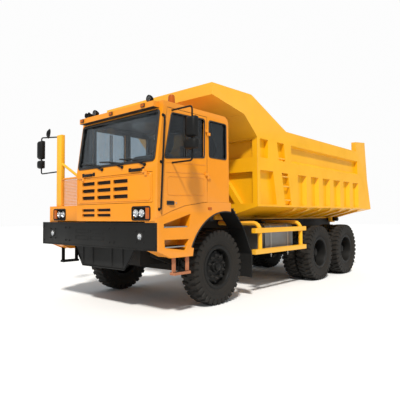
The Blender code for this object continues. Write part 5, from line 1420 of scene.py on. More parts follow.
@dataclass
class Interior:
    """Crowned seats, the curtains and the dashboard's hood and vents."""

    crown: float = 0.035
    folds: int = 9
    fold_depth: float = 0.016
    hood_x: float = 1.05

    def cushion(self, name: str, low: Vector, high: Vector, channels: int, upright: bool) -> bpy.types.Object:
        """A padded form with sewn channels, crowned over its face.

        Args:
            name: the cushion's name.
            low: its lowest corner.
            high: its highest corner.
            channels: how many seams cross it.
            upright: whether its face looks forwards rather than up.

        Returns:
            The cushion.
        """
        shape = Shape().block(low, high, 0.03)
        bmesh.ops.subdivide_edges(shape.mesh, edges=shape.mesh.edges[:], cuts=7, use_grid_fill=True)
        middle = (low + high) / 2
        size = high - low
        face, long = (1, 2) if upright else (2, 1)
        for vert in shape.mesh.verts:
            share = (vert.co - middle) * 2
            across, along = share.x / size.x, share[long] / size[long]
            dome = max(0.0, 1 - across**2) * max(0.0, 1 - along**2)
            seam = math.exp(-(((along * channels / 2) % 1 - 0.5) ** 2) * 160)
            lift = self.crown * dome * 0.5 - 0.007 * seam
            outer = share[face] / size[face]
            vert.co[face] += math.copysign(lift, outer) * min(1, abs(outer))
            vert.co[face] -= math.copysign(self.crown * 0.5, outer)
        piece = shape.place(name, Look.CLOTH, "chassis", 80)
        soft = piece.modifiers.new("soft", "SUBSURF")
        soft.levels = soft.render_levels = 1
        return piece

    def seat(self, node: str) -> None:
        """A seat in place of its plain solid.

        Args:
            node: the seat's node.
        """
        low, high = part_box(node)
        base = low.z + 0.22
        near, far = Vector((low.x, low.y, base)), Vector((high.x, high.y - 0.10, base + 0.16))
        cushion = self.cushion(f"{node}_cushion", near, far, 4, False)
        near = Vector((low.x + 0.01, high.y - 0.14, base + 0.10))
        far = Vector((high.x - 0.01, high.y, base + 0.60))
        self.cushion(f"{node}_back", near, far, 5, True)
        near = Vector((low.x + 0.11, high.y - 0.12, base + 0.62))
        far = Vector((high.x - 0.11, high.y - 0.01, base + 0.76))
        self.cushion(f"{node}_headrest", near, far, 2, True)
        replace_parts(cushion, node)
        base_low = Vector((low.x + 0.08, low.y + 0.07, low.z))
        base_high = Vector((high.x - 0.08, high.y - 0.15, base + 0.02))
        shape = Shape().block(base_low, base_high, 0.015)
        for fold in range(3):
            z = low.z + 0.05 + 0.05 * fold
            rim = [
                (base_low.x, base_low.y, z),
                (base_high.x, base_low.y, z),
                (base_high.x, base_high.y, z),
                (base_low.x, base_high.y, z),
            ]
            shape.tube(rounded(rim, 0.03, closed=True), 0.012, 6, closed=True)
        shape.place(f"{node}_bellows", Look.GASKET, "chassis")
        posts = Shape()
        for x in (-0.05, 0.05):
            centre = (low.x + high.x) / 2 + x
            posts.rod((centre, high.y - 0.065, base + 0.55), (centre, high.y - 0.065, base + 0.66), 0.006, 8)
        posts.place(f"{node}_posts", Look.CHROME, "chassis")

    def curtain(self, name: str, start: Vector, end: Vector, height: float) -> None:
        """A gathered curtain that hangs from its rail, drawn in where it is tied.

        Args:
            name: the curtain's name.
            start: its head at one end.
            end: its head at the other end.
            height: how far it hangs.
        """
        folds, depth, rows = self.folds, self.fold_depth, 16
        along = (end - start).normalized()
        out = along.cross(Vector((0, 0, 1)))
        width = (end - start).length
        shape = bmesh.new()
        columns = folds * 8
        grid = []
        for row in range(rows + 1):
            drop = height * row / rows
            tied = 1 - 0.55 * math.exp(-(((row / rows) - 0.72) ** 2) * 18)
            line = []
            for column in range(columns + 1):
                share = column / columns
                wave = math.sin(2 * math.pi * folds * (share + 0.01 * math.sin(row * 0.5)))
                spot = start + along * width * share * tied + out * depth * wave
                line.append(shape.verts.new(spot - Vector((0, 0, drop))))
            grid.append(line)
        for lower, upper in zip(grid, grid[1:]):
            for column in range(columns):
                shape.faces.new((lower[column], lower[column + 1], upper[column + 1], upper[column]))
        area = sum(face.calc_area() for face in shape.faces)
        mesh = bpy.data.meshes.new(name)
        shape.to_mesh(mesh)
        shape.free()
        mesh.shade_smooth()
        mesh.materials.append(PAINTS.get(Look.CURTAIN))
        piece = bpy.data.objects.new(name, mesh)
        bpy.context.scene.collection.objects.link(piece)
        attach(piece, "chassis")
        lift = Vector((0, 0, 0.006))
        rail = Shape().rod(start - along * 0.03 + lift, end + along * 0.06 + lift, 0.007, 10)
        rod = rail.place(f"{name}_rail", Look.CHROME, "chassis")

    def curtains(self) -> None:
        """Hangs one curtain at the left quarter window and two at the rear window."""
        low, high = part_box("quarter_glass_left")
        x, head = low.x - 0.055, high.z + 0.012
        self.curtain("curtain_left", Vector((x, high.y - 0.02, head)), Vector((x, low.y + 0.16, head)), 0.62)
        low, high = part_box("rear_glass")
        y, head = low.y - 0.08, high.z + 0.012
        self.curtain("curtain_rear_left", Vector((high.x, y, head)), Vector((high.x - 0.30, y, head)), 0.60)
        self.curtain("curtain_rear_right", Vector((low.x, y, head)), Vector((low.x + 0.30, y, head)), 0.60)
        LOG.info("curtains: one at the side and two at the rear")

    def dashboard(self) -> None:
        """An instrument hood and vents on the plain dashboard."""
        low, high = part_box("dashboard")
        near = (self.hood_x - 0.25, low.y + 0.03, high.z - 0.21)
        far = (self.hood_x + 0.25, low.y + 0.16, high.z - 0.10)
        Shape().block(near, far, 0.03).place("instrument_hood", Look.PLASTIC, "chassis")
        vents = Shape()
        for x in (-0.2, 0.25, 0.62):
            for slat in range(4):
                z = low.z + 0.42 + slat * 0.018
                vents.block((x - 0.06, low.y + 0.296, z), (x + 0.06, low.y + 0.304, z + 0.008), 0.002)
        vents.place("dashboard_vents", Look.BLACK_PAINT, "chassis")

    def build(self) -> None:
        """Furnishes the cab."""
        self.seat("driver_seat")
        self.seat("passenger_seat")
        self.curtains()
        self.dashboard()
        LOG.info("interior: two seats and the dashboard's trim")


@dataclass
class Mirrors:
    """The mirrors' heads, arms and post."""

    rim: float = 0.006
    tube: float = 0.013
    taper: float = 0.35
    # each head: its name, its reach to either side of the arm, its foot and its top
    left_heads: tuple[tuple[str, float, float, float, float], ...] = (
        ("main", 0.095, 0.095, 0.342, 0.642),
        ("low", 0.13, 0.11, 0.172, 0.322),
    )
    right_heads: tuple[tuple[str, float, float, float, float], ...] = (
        ("main", 0.085, 0.085, 0.95, 1.325),
        ("low", 0.08, 0.08, 0.765, 0.93),
    )
    disc_case: Profile = ((0.0, -0.045), (0.05, -0.035), (0.09, -0.008), (0.096, 0.0), (0.096, 0.008))
    disc_glass: Profile = ((0.0, 0.016), (0.05, 0.013), (0.086, 0.009))

    def glass(self, name: str, low: Vector, high: Vector, body: str) -> None:
        """A mirror glass in the back of its case, with a rim.

        Args:
            name: the glass's name.
            low: the lowest corner of the case.
            high: the highest corner of the case.
            body: the body that it rides on.
        """
        back = high.y
        near = (low.x + 0.014, back - 0.002, low.z + 0.014)
        far = (high.x - 0.014, back + 0.002, high.z - 0.014)
        Shape().block(near, far, 0.001).place(f"{name}_glass", Look.MIRROR, body)
        corners = upright(low.x + 0.012, high.x - 0.012, back, low.z + 0.012, high.z - 0.012)
        loop = rounded(corners, 0.015, closed=True)
        Shape().tube(loop, self.rim, 6, closed=True).place(f"{name}_rim", Look.GASKET, body)

    def head(self, name: str, low: Vector, high: Vector, body: str) -> None:
        """A moulded case that narrows towards its front, with its glass behind.

        Args:
            name: the head's name.
            low: its lowest corner.
            high: its highest corner.
            body: the body that it rides on.
        """
        shape = Shape().block(low, high, 0.032)
        middle, depth = (low + high) / 2, high.y - low.y
        for vert in shape.mesh.verts:
            narrow = 1 - self.taper * max(0.0, (middle.y - vert.co.y) / depth)
            vert.co.x = middle.x + (vert.co.x - middle.x) * narrow
            vert.co.z = middle.z + (vert.co.z - middle.z) * narrow
        shape.place(f"{name}_case", Look.BLACK_PAINT, body, 60)
        self.glass(name, low, high, body)

    def loop(self, name: str, path: Sequence[Point], body: str) -> bpy.types.Object:
        """The bent tube that holds a side's heads.

        Args:
            name: the tube's name.
            path: its corners.
            body: the body that it rides on.

        Returns:
            The tube.
        """
        return Shape().tube(rounded(path, 0.05), self.tube, 12).place(name, Look.BLACK_PAINT, body)

    def left(self) -> None:
        """The door's mirrors."""
        low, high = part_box("mirror_left")
        x, y = high.x - 0.11, high.y - 0.03
        upper, lower = high.z - self.tube, low.z + self.tube
        path = [(low.x, y, upper), (x, y, upper), (x, y, lower), (low.x, y, lower)]
        arm = self.loop("mirror_left_arm", path, "cab_door_left")
        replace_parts(arm, "mirror_left")
        for label, left, right, foot, head in self.left_heads:
            near = Vector((x - left, low.y, low.z + foot))
            far = Vector((x + right, high.y, low.z + head))
            self.head(f"mirror_left_{label}", near, far, "cab_door_left")

    def right(self) -> None:
        """The post on the platform, with its brace, its mirrors and the convex one."""
        low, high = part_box("mirror_pole")
        deck = low.z
        x, y = low.x + 0.085, low.y + 0.07
        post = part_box("platform_right")[0].x + 0.16
        shape = Shape().block((post, y - 0.03, deck), (post + 0.16, y + 0.05, deck + 1.35), 0.008)
        foot = Vector((high.x - 0.10, y + 0.03, deck + 0.42))
        shape.tube([(post + 0.08, y + 0.01, deck + 0.83), foot, (high.x, foot.y, foot.z)], 0.025, 14)
        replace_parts(shape.place("mirror_post", Look.BODY_PAINT, "chassis"), "mirror_pole")
        root = post + 0.04
        path = [(root, y, deck + 1.32), (x, y, deck + 1.385), (x, y, deck + 0.66), (root, y, deck + 0.66)]
        self.loop("mirror_right_arm", path, "chassis")
        for label, left, right, bottom, top in self.right_heads:
            near = Vector((x - left, low.y, deck + bottom))
            far = Vector((x + right, y + 0.03, deck + top))
            self.head(f"mirror_right_{label}", near, far, "chassis")
        disc = Vector(((x + post) / 2 - 0.02, y - 0.01, deck + 1.43))
        facing = (0.25, 0.96, -0.1)
        case = Shape().lathe([*self.disc_case, (0.088, 0.010), (0.0, 0.008)], disc, facing, 36)
        case.place("convex_mirror_case", Look.BLACK_PAINT, "chassis")
        glass = Shape().lathe(self.disc_glass, disc, facing, 36)
        glass.place("convex_mirror_glass", Look.MIRROR, "chassis")

    def build(self) -> None:
        """Dresses both sides' mirrors."""
        self.left()
        self.right()
        LOG.info("mirrors: five heads on bent tubes")


# ---- Front end and running boards -------------------------------------------------------


@dataclass
class FrontEnd:
    """The bumper's lamps, bolts and pressings, the fender's trim and the platform's mesh."""

    spot: Station
    proud: float = 0.0145
    fog_x: float = 1.2
    bolt_x: tuple[float, ...] = (-0.78, -0.66, 0.47, 0.59)
    end_bolt_x: float = 1.52
    arch: float = 0.938
    step_socket: Profile = ((0, 0.03), (0.03, 0.03), (0.042, 0.02), (0.042, -0.06), (0, -0.06))

    def bumper(self) -> None:
        """The bumper's plate and back, with fog lamps, bolts and pressed slots that reach its front plane."""
        low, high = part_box("front_bumper")
        face, middle = low.y + self.proud, (low.z + high.z) / 2
        plate = Shape().block((low.x, face, low.z), (high.x, face + 0.012, high.z), 0.004)
        for z in (low.z, high.z - 0.012):
            plate.block((-1.27, face + 0.006, z), (1.27, high.y, z + 0.012), 0.004)
        for x in (-1.0, -0.42, 0.42, 1.0):
            plate.block((x - 0.006, face + 0.006, low.z + 0.006), (x + 0.006, high.y, high.z - 0.006), 0.002)
        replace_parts(plate.place("bumper_plate", Look.BLACK_PAINT, "chassis"), "front_bumper")
        bezels, bowls, lenses, bolts = Shape(), Shape(), Shape(), Shape()
        for x in (-self.fog_x, self.fog_x):
            centre = Vector((x, face, middle))
            bezels.lathe([(0.044, 0.0), (0.046, 0.012), (0.058, 0.012), (0.063, 0.0)], centre, (0, -1, 0), 48)
            bowls.lathe([(0.042, 0.008), (0.038, 0.004), (0.024, 0.001), (0, 0.0005)], centre, (0, -1, 0), 40)
            lenses.lathe([(0, 0.014), (0.024, 0.013), (0.044, 0.008)], centre, (0, -1, 0), 40)
            for turn in range(4):
                angle = math.pi / 4 + turn * math.pi / 2
                spot = centre + Vector((math.cos(angle) * 0.115, 0, math.sin(angle) * 0.115))
                bolts.nut(spot, (0, -1, 0), 0.020, 0.012)
        for x in self.bolt_x:
            for z in (low.z + 0.09, high.z - 0.09):
                bolts.nut((x, face, z), (0, -1, 0), 0.024, 0.012)
        for x in (-self.end_bolt_x, self.end_bolt_x):
            for z in (low.z + 0.07, high.z - 0.07):
                bolts.nut((x, face, z), (0, -1, 0), 0.022, 0.010)
        bezels.place("fog_lamp_bezels", Look.PLASTIC, "chassis")
        bowls.place("fog_lamp_bowls", Look.CHROME, "chassis")
        lenses.place("fog_lamp_lenses", Look.CLEAR, "chassis")
        bolts.place("bumper_bolts", Look.BLACK_PAINT, "chassis")
        slots = Shape()
        for column in range(2):
            for row in range(2):
                left, foot = -0.46 + 0.43 * column, middle - 0.085 + 0.11 * row
                corners = upright(left, left + 0.36, face, foot, foot + 0.06)
                slots.tube(rounded(corners, 0.015, closed=True), 0.004, 6, closed=True)
        edge = upright(low.x + 0.02, high.x - 0.02, face, low.z + 0.02, high.z - 0.02)
        slots.tube(rounded(edge, 0.04, closed=True), 0.005, 6, closed=True)
        slots.place("bumper_pressings", Look.BLACK_PAINT, "chassis")

    def steps(self, side: str, sign: int, front: float) -> None:
        """Tread plates in the fender's two recesses and on the hanging step.

        Args:
            side: left or right.
            sign: +1 on the left.
            front: the Y of the fender's front edge, from the front axle.
        """
        fender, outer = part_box(f"fender_{side}")
        face = abs(outer.x if sign > 0 else fender.x)
        foot = fender.z + 0.26
        plates, edges = Shape(), Shape()
        for start, end, level in ((front + 0.14, -0.95, foot + 0.446), (front + 0.16, -1.0, foot + 0.155)):
            low = self.spot.at(0, start, level)
            high = self.spot.at(0, end, level + 0.012)
            xs = sorted((sign * (face - 0.19), sign * (face - 0.006)))
            plates.block((xs[0], low.y, low.z), (xs[1], high.y, high.z), 0.002)
            for bump in range(14):
                y = low.y + 0.02 + (high.y - low.y - 0.04) * bump / 13
                near = (xs[0] + 0.02, y - 0.004, high.z - 0.001)
                plates.block(near, (xs[1] - 0.02, y + 0.004, high.z + 0.005))
            edge = sorted((sign * (face - 0.008), sign * (face - 0.001)))
            edges.block((edge[0], low.y, low.z - 0.002), (edge[1], high.y, high.z + 0.004), 0.001)
        cap = self.spot.at(sign * (face - 0.10), front + 0.20, foot + 0.52)
        socket = Shape().lathe(self.step_socket, cap, (sign, 0, 0), 32)
        socket.place(f"step_socket_{side}", Look.GASKET, "chassis")
        plates.place(f"step_plates_{side}", Look.BLACK_PAINT, "chassis")
        edges.place(f"step_edges_{side}", Look.STEEL, "chassis")
        teeth = Shape()
        x = sign * (face - 0.06)
        for bump in range(9):
            y = self.spot.at(0, -1.20 + bump * 0.036, 0).y
            near = (x - 0.045, y - 0.004, fender.z + 0.039)
            teeth.block(near, (x + 0.045, y + 0.004, fender.z + 0.046), 0.001)
        teeth.place(f"hanging_step_teeth_{side}", Look.BLACK_PAINT, "chassis")

    def splash_panel(self) -> None:
        """The black pressed panel under the bumper, with its ribs."""
        low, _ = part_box("front_bumper")
        y = low.y + 0.20
        top, foot = low.z + 0.02, low.z - 0.34
        outline = [(-0.78, top), (-0.52, foot), (0.62, foot), (0.90, top)]
        shape = Shape()
        front = [shape.mesh.verts.new((x, y, z)) for x, z in outline]
        back = [shape.mesh.verts.new((x, y + 0.012, z)) for x, z in outline]
        shape.mesh.faces.new(front)
        shape.mesh.faces.new(back[::-1])
        for index in range(len(outline)):
            after = (index + 1) % len(outline)
            shape.mesh.faces.new((front[index], front[after], back[after], back[index]))
        for x in (-0.50, -0.22, 0.30, 0.58):
            shape.tube([(x, y, foot + 0.04), (x, y, top)], 0.014, 8)
        shape.tube([(x, y - 0.004, z) for x, z in outline], 0.014, 8, closed=True)
        shape.place("splash_panel", Look.BLACK_PAINT, "chassis")

    def fender_trim(self, side: str, sign: int) -> None:
        """The rubber lip round the wheel arch and the side marker.

        Args:
            side: left or right.
            sign: +1 on the left.
        """
        low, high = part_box(f"fender_{side}")
        face = high.x if sign > 0 else low.x
        wheel = middle_of(f"front_tyre_{side}")
        first, last = math.asin(0.39 / 0.94), math.pi - math.acos(0.145 / 0.94)
        path = []
        for step in range(25):
            angle = first + (last - first) * step / 24
            spot = Vector((0, -math.cos(angle), math.sin(angle))) * self.arch
            path.append((face, wheel.y + spot.y, wheel.z + spot.z))
        Shape().tube(path, 0.011, 8).place(f"arch_lip_{side}", Look.GASKET, "chassis")
        spot = self.spot.at(face, -0.42, high.z - 0.10)
        xs = sorted((spot.x - sign * 0.004, spot.x + sign * 0.012))
        near, far = (xs[0], spot.y - 0.045, spot.z - 0.02), (xs[1], spot.y + 0.045, spot.z + 0.02)
        Shape().block(near, far, 0.006).place(f"side_marker_{side}", Look.AMBER, "chassis")

    def platform_mesh(self) -> None:
        """The wire mesh in the platform's front rail, and the raised bars of its tread."""
        low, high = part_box("platform_right")
        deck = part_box("mirror_pole")[0].z
        left, right = -1.18, high.x - 0.12
        y = low.y + 0.025
        wires = Shape()
        head = deck + 0.48
        for column in range(1, 22):
            x = left + (right - left) * column / 22
            wires.tube([(x, y, deck), (x, y, head)], 0.005, 5)
        for row in range(1, 18):
            z = deck + (head - deck) * row / 18
            wires.tube([(left, y + 0.004, z), (right, y + 0.004, z)], 0.005, 5)
        wires.place("platform_mesh", Look.CAB_PAINT, "chassis")
        tread = Shape()
        for row in range(11):
            for column in range(7):
                x = -1.42 + 0.13 * column + (0.065 if row % 2 else 0)
                spot = Vector((x, low.y + 0.14 + row * 0.125, deck + 0.001))
                turn = Matrix.Rotation(math.pi / 4 * (1 if (row + column) % 2 else -1), 3, "Z")
                half = Vector((0.03, 0.006, 0.002))
                tread.block(spot - half, spot + half + Vector((0, 0, 0.001)), 0.0015, turn)
        tread.place("platform_tread", Look.CAB_PAINT, "chassis")

    def build(self) -> None:
        """Builds the front end's trim."""
        self.bumper()
        self.steps("left", 1, -1.575)
        self.steps("right", -1, -1.44)
        for side, sign in (("left", 1), ("right", -1)):
            self.fender_trim(side, sign)
        self.platform_mesh()
        self.splash_panel()
        LOG.info("front end: fog lamps, bolts, steps and mesh")


@dataclass
class Midships:
    """The tanks' straps and caps, the frame's bolts, the springs' clamps and the mudguards' ribs."""

    spot: Station
    rail: float = 0.46
    bolt_rows: tuple[float, ...] = (1.14, 1.36)
    spring_x: tuple[float, float] = (0.465, 0.565)
    guard_x: tuple[float, float] = (1.12, 1.44)
    guard_line: Profile = ((0.36, 1.652), (0.674, 1.29), (0.889, 0.877), (0.936, 0.80))
    cap: Profile = (
        (0, 0.05),
        (0.045, 0.05),
        (0.055, 0.042),
        (0.055, 0.018),
        (0.045, 0.012),
        (0.045, 0.0),
        (0, 0),
    )

    def tank(self, node: str, sign: int, look: Look) -> None:
        """Straps, a cap and end seams for a tank.

        Args:
            node: the tank's node.
            sign: +1 on the left.
            look: the finish of its straps.
        """
        low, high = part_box(node)
        outer = high.x if sign > 0 else low.x
        inner = low.x if sign > 0 else high.x
        straps, bolts = Shape(), Shape()
        for share in (0.2, 0.8):
            y = low.y + (high.y - low.y) * share
            path = [
                (inner, low.z - 0.003),
                (outer - sign * 0.09, low.z - 0.003),
                (outer - sign * 0.025, low.z + 0.025),
                (outer + sign * 0.003, low.z + 0.09),
                (outer + sign * 0.003, high.z - 0.09),
                (outer - sign * 0.025, high.z - 0.025),
                (outer - sign * 0.09, high.z + 0.003),
                (inner, high.z + 0.003),
            ]
            for (x0, z0), (x1, z1) in zip(path, path[1:]):
                start, end = Vector((x0, y, z0)), Vector((x1, y, z1))
                along = (end - start).normalized()
                turn = Matrix((along, Vector((0, 1, 0)), along.cross(Vector((0, 1, 0))))).transposed()
                middle, half = (start + end) / 2, Vector(((end - start).length / 2, 0.03, 0.003))
                straps.block(middle - half, middle + half, 0.0, turn)
            x = outer + sign * 0.003
            straps.rod((x, y, low.z + 0.05), (x, y, low.z - 0.12), 0.010, 10)
            bolts.nut((x, y, low.z - 0.07), (0, 0, -1), 0.03, 0.018)
        straps.place(f"{node}_straps", look, "chassis")
        bolts.place(f"{node}_strap_nuts", Look.STEEL, "chassis")
        cap = Vector((outer - sign * 0.22, low.y + 0.25, high.z - 0.002))
        filler = Shape().lathe(self.cap, cap, (0, 0, 1), 32)
        filler.place(f"{node}_cap", Look.BLACK_PAINT, "chassis")
        seams = Shape()
        for y in (low.y, high.y):
            path = upright(low.x + 0.05, high.x - 0.05, y, low.z + 0.05, high.z - 0.05)
            seams.tube(rounded(path, 0.06, closed=True), 0.005, 6, closed=True)
        seams.place(f"{node}_seams", look, "chassis")

    def frame_bolts(self) -> None:
        """Rows of bolts along the outer faces of the rails."""
        bolts = Shape()
        stations = [-1.25 + 0.16 * step for step in range(4)] + [3.2 + 0.17 * step for step in range(14)]
        for sign in (1, -1):
            for y in stations:
                for z in self.bolt_rows:
                    foot = self.spot.at(sign * self.rail, y, z)
                    bolts.nut(foot, (sign, 0, 0), 0.028, 0.014)
        bolts.place("frame_bolts", Look.CHASSIS, "chassis")

    def spring_clamps(self) -> None:
        """The U-bolts over the springs."""
        shape = Shape()
        low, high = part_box("bogie_springs")
        wheel = middle_of("front_tyre_left")
        for sign in (1, -1):
            x0, x1 = (sign * x for x in self.spring_x)
            middles = [low.y + (high.y - low.y) * share for share in (0.46, 0.54)]
            bogie = [(y, low.z + 0.02, high.z + 0.012) for y in middles]
            front = [(wheel.y + y, wheel.z - 0.14, wheel.z + 0.125) for y in (-0.11, 0.11)]
            for y, foot, top in bogie + front:
                path = [(x0, y, foot), (x0, y, top), (x1, y, top), (x1, y, foot)]
                shape.tube(rounded(path, 0.02), 0.010, 8)
        shape.place("spring_clamps", Look.CHASSIS, "chassis")

    def guard_ribs(self, side: str, sign: int) -> None:
        """Pressed ribs across the mudguard.

        Args:
            side: left or right.
            sign: +1 on the left.
        """
        ribs = Shape()
        near, far = (sign * x for x in self.guard_x)
        for (y0, z0), (y1, z1) in zip(self.guard_line, self.guard_line[1:]):
            count = max(1, round(math.hypot(y1 - y0, z1 - z0) / 0.07))
            for step in range(count):
                share = (step + 0.5) / count
                spot = self.spot.at(0, y0 + (y1 - y0) * share, z0 + (z1 - z0) * share)
                ribs.tube([(near, spot.y, spot.z), (far, spot.y, spot.z)], 0.010, 6)
        ribs.place(f"mudguard_ribs_{side}", Look.PLASTIC, "chassis")

    def build(self) -> None:
        """Builds the pieces between the axles."""
        self.tank("fuel_tank", 1, Look.STEEL)
        self.tank("hydraulic_tank", -1, Look.CHASSIS)
        self.frame_bolts()
        self.spring_clamps()
        for side, sign in (("left", 1), ("right", -1)):
            self.guard_ribs(side, sign)
        LOG.info("midships: straps, caps, bolts and ribs")


@dataclass
class TippingBody:
    """Ladder rungs, hinge bosses, weld beads and tail lamps."""

    spot: Station
    gate_pivot: tuple[float, float] = (6.234, 3.425)
    boss: Profile = (
        (0.036, -0.002),
        (0.036, -0.012),
        (0.07, -0.012),
        (0.075, -0.018),
        (0.075, -0.03),
        (0.036, -0.03),
    )
    seam_z: float = 1.684
    rungs: tuple[tuple[float, float, float], ...] = (
        (1.807, 2.061, 2.66),
        (1.930, 2.182, 2.30),
        (1.962, 2.214, 2.10),
        (2.062, 2.284, 1.82),
    )

    def ladder(self, sign: int) -> None:
        """Rungs across the ladder's recess on one side.

        Args:
            sign: +1 on the left.
        """
        low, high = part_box("dump_body")
        face = high.x if sign > 0 else low.x
        side = "left" if sign > 0 else "right"
        shape = Shape()
        for start, end, z in self.rungs:
            x = face - sign * 0.022
            near, far = self.spot.at(x, start - 0.005, z), self.spot.at(x, end + 0.005, z)
            shape.tube([near, far], 0.016, 10)
        shape.place(f"ladder_rungs_{side}", Look.BODY_PAINT, "tipping_body")

    def bosses(self) -> None:
        """The tailgate's hinge bosses."""
        low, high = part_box("dump_body")
        shape = Shape()
        for sign in (1, -1):
            face = high.x if sign > 0 else low.x
            inside = self.spot.at(face - sign * 0.03, *self.gate_pivot)
            shape.lathe([(radius, height + 0.03) for radius, height in self.boss], inside, (sign, 0, 0), 32)
        shape.place("gate_bosses", Look.BODY_PAINT, "tipping_body")

    def welds(self) -> None:
        """Weld beads along the bands' edges and the front wall."""
        low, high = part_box("dump_body")
        shape = Shape()
        face_y = self.spot.at(0, 1.03, 0).y
        for sign in (1, -1):
            face = high.x if sign > 0 else low.x
            start, end = self.spot.at(face, 1.06, self.seam_z), self.spot.at(face, 6.2, self.seam_z)
            shape.tube([start, end], 0.006, 6)
            x, y = face - sign * 0.001, face_y + 0.004
            shape.tube([(x, y, 1.72), (x, y, 2.95)], 0.006, 6)
        shape.place("body_welds", Look.BODY_PAINT, "tipping_body")

    def tail(self) -> None:
        """Tail lamps and their bar on the frame's end."""
        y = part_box("chassis_frame")[1].y
        bars, red, amber = Shape(), Shape(), Shape()
        bars.block((-1.15, y - 0.10, 1.02), (1.15, y - 0.06, 1.09), 0.006)
        for sign in (1, -1):
            bars.block((sign * 0.41 - 0.04, y - 0.10, 1.05), (sign * 0.41 + 0.04, y - 0.04, 1.16), 0.004)
            xs = sorted((sign * 0.72, sign * 1.08))
            bars.block((xs[0], y - 0.06, 0.96), (xs[1], y - 0.02, 1.09), 0.008)
            red_x = sorted((sign * 0.74, sign * 0.90))
            amber_x = sorted((sign * 0.92, sign * 1.06))
            red.block((red_x[0], y - 0.022, 0.975), (red_x[1], y - 0.010, 1.075), 0.005)
            amber.block((amber_x[0], y - 0.022, 0.975), (amber_x[1], y - 0.010, 1.075), 0.005)
        bars.place("tail_bar", Look.CHASSIS, "chassis")
        red.place("tail_lamps", Look.RED, "chassis")
        amber.place("tail_indicators", Look.AMBER, "chassis")

    def build(self) -> None:
        """Builds the body's trim."""
        self.ladder(1)
        self.ladder(-1)
        self.bosses()
        self.welds()
        self.tail()
        LOG.info("tipping body: ladders, bosses, welds and tail lamps")


# ---- Frame parts, floor, light and camera -------------------------------------------------


@dataclass
class FrameFinishes:
    """Gives every plain part of the frame that still shows its finish."""

    trim: float = 0.045
    looks: dict[str, Look] = field(
        default_factory=lambda: {
            "cab_paint": Look.CAB_PAINT,
            "body_paint": Look.BODY_PAINT,
            "black_paint": Look.BLACK_PAINT,
            "chassis_paint": Look.CHASSIS,
            "tyre_rubber": Look.TYRE,
            "tank_aluminium": Look.ALUMINIUM,
            "rod_chrome": Look.CHROME,
            "tinted_glass": Look.GLASS,
            "dark_plastic": Look.PLASTIC,
            "seat_cloth": Look.CLOTH,
        }
    )

    def build(self, frame: dict) -> None:
        """Dresses each node by its material slot.
        """
        slots = {row["node"]: row["material_slot"] for row in frame["record"]["subparts"]}
        for name, node in frame["nodes"].items():
            node.data.materials.clear()
            node.data.materials.append(PAINTS.get(self.looks[slots[name]]))
        self.line_load_space(frame["nodes"]["dump_body"])
        low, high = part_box("cab_shell")
        for name in ("cab_shell", "door_left", "door_right"):
            reach = self.trim if name == "cab_shell" else -self.trim
            inset = Vector((0.02, reach, reach))
            lining = partial(self.lines_cab, low + inset, high - inset)
            self.repaint(frame["nodes"][name], Look.PLASTIC, lining)
        # below the hem the left fender gets cab paint darkened as painted shade, the right gets black paint
        for side, look in (("left", Look.SHADED_CAB_PAINT), ("right", Look.BLACK_PAINT)):
            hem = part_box(f"fender_{side}")[0].z + 0.24
            self.repaint(frame["nodes"][f"fender_{side}"], look, lambda face, hem=hem: face.center.z < hem)
        LOG.info("frame: %d nodes dressed", len(slots))

    @staticmethod
    def lines_cab(low: Vector, high: Vector, face: bpy.types.MeshPolygon) -> bool:
        """Whether a face lines the cab.

        Args:
            low: the lowest corner of the space that it has to be in.
            high: the highest corner of that space.
            face: the face.

        Returns:
            True if it is inside and looks at the cab's middle.
        """
        spot, heart = face.center, (low + high) / 2
        within = all(low[i] <= spot[i] <= high[i] for i in range(3))
        return within and face.normal.dot(heart - spot) > 0.25 * (heart - spot).length

    @staticmethod
    def repaint(node: bpy.types.Object, look: Look, chosen: Callable[[bpy.types.MeshPolygon], bool]) -> None:
        """Gives some of a node's faces a second finish.

        Args:
            node: the node's object.
            look: the second finish.
            chosen: says whether a face is one of them.
        """
        node.data.materials.append(PAINTS.get(look))
        for face in node.data.polygons:
            if chosen(face):
                face.material_index = len(node.data.materials) - 1

    @staticmethod
    def line_load_space(node: bpy.types.Object) -> None:
        """Gives the inner faces of the body their scoured finish.

        Args:
            node: the body's object.
        """
        node.data.materials.append(PAINTS.get(Look.LINER))
        low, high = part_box("dump_body")
        wall = 0.10
        for face in node.data.polygons:
            centre = face.center
            inside = abs(centre.x) < high.x - wall and centre.y > low.y + wall
            looks_in = face.normal.x * centre.x < 0.1 and face.normal.z > -0.2
            if inside and looks_in and abs(face.normal.z) + abs(face.normal.x) > 0.3 and centre.z > 1.54:
                face.material_index = 1


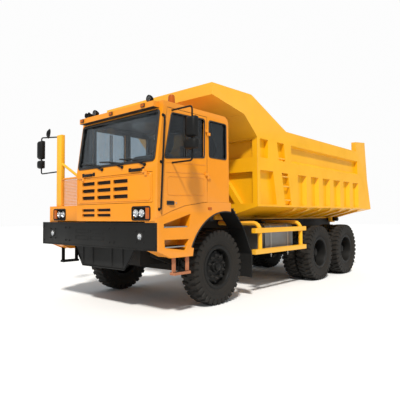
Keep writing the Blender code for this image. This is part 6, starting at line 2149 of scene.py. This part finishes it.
@dataclass
class Studio:
    """A pale floor, soft lights and the camera."""

    spot: Station
    azimuth: float = 41.25
    tilt: float = 2.19
    roll: float = -0.33
    lens: float = 38.82
    eye: tuple[float, float, float] = (6.016, -5.737, 1.495)  # from the front axle
    sun: float = 4.0
    sky: float = 0.52

    def floor(self) -> None:
        """The floor, which isn't part of the truck."""
        shape = bmesh.new()
        bmesh.ops.create_grid(shape, x_segments=1, y_segments=1, size=60)
        mesh = bpy.data.meshes.new("studio_floor")
        shape.to_mesh(mesh)
        shape.free()
        plain = bpy.data.materials.new("studio_floor")
        plain.use_nodes = True
        shader = plain.node_tree.nodes["Principled BSDF"]
        shader.inputs["Base Color"].default_value = (0.86, 0.86, 0.85, 1)
        shader.inputs["Roughness"].default_value = 0.8
        mesh.materials.append(plain)
        floor = bpy.data.objects.new("studio_floor", mesh)
        bpy.context.scene.collection.objects.link(floor)

    def lights(self) -> None:
        """A soft key from the front left, a soft sky and a white backdrop."""
        world = bpy.data.worlds.new("studio_sky")
        world.use_nodes = True
        tree = world.node_tree
        soft = tree.nodes["Background"]
        soft.inputs["Color"].default_value = (0.90, 0.95, 1.0, 1)
        soft.inputs["Strength"].default_value = self.sky
        plain = tree.nodes.new("ShaderNodeBackground")
        plain.inputs["Color"].default_value = (1.0, 1.0, 1.0, 1)
        plain.inputs["Strength"].default_value = 0.98
        mix = tree.nodes.new("ShaderNodeMixShader")
        rays = tree.nodes.new("ShaderNodeLightPath")
        tree.links.new(rays.outputs["Is Camera Ray"], mix.inputs[0])
        tree.links.new(soft.outputs[0], mix.inputs[1])
        tree.links.new(plain.outputs[0], mix.inputs[2])
        tree.links.new(mix.outputs[0], tree.nodes["World Output"].inputs["Surface"])
        bpy.context.scene.world = world
        sun = bpy.data.lights.new("key", "SUN")
        sun.energy = self.sun
        sun.angle = math.radians(6)
        sun.color = (1.0, 0.97, 0.92)
        key = bpy.data.objects.new("key", sun)
        key.rotation_euler = Vector((0.41, -0.53, 0.73)).to_track_quat("Z", "Y").to_euler()
        bpy.context.scene.collection.objects.link(key)

    def camera(self) -> None:
        """The camera at eye level off the truck's left front corner."""
        azimuth, tilt, roll = (math.radians(value) for value in (self.azimuth, self.tilt, self.roll))
        ahead = Vector(
            (-math.sin(azimuth) * math.cos(tilt), math.cos(azimuth) * math.cos(tilt), math.sin(tilt))
        )
        right = Vector((math.cos(azimuth), math.sin(azimuth), 0))
        up = right.cross(ahead)
        across = right * math.cos(roll) + up * math.sin(roll)
        upright = up * math.cos(roll) - right * math.sin(roll)
        lens = bpy.data.cameras.new("camera")
        lens.lens = self.lens
        camera = bpy.data.objects.new("camera", lens)
        turn = Matrix((across, upright, -ahead)).transposed()
        camera.matrix_world = Matrix.Translation(self.spot.at(*self.eye)) @ turn.to_4x4()
        bpy.context.scene.collection.objects.link(camera)
        bpy.context.scene.camera = camera
        bpy.context.scene.view_settings.view_transform = "Standard"

    def build(self) -> None:
        """Sets the studio up."""
        self.floor()
        self.lights()
        self.camera()
        LOG.info("studio: floor, lights and camera")


def main() -> None:
    """Builds the truck's looks round its frame."""
    logging.basicConfig(level=logging.INFO, format="%(message)s")
    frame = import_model()
    spot = Station(middle_of("front_tyre_left").y)
    FrameFinishes().build(frame)
    Tyres().build()
    Rims().build()
    Glazing().build()
    CabFront().build()
    CabSides(spot).build()
    Interior().build()
    Mirrors().build()
    FrontEnd(spot).build()
    Midships(spot).build()
    TippingBody(spot).build()
    Studio(spot).build()
    bpy.context.view_layer.update()


if __name__ == "__main__":
    main()
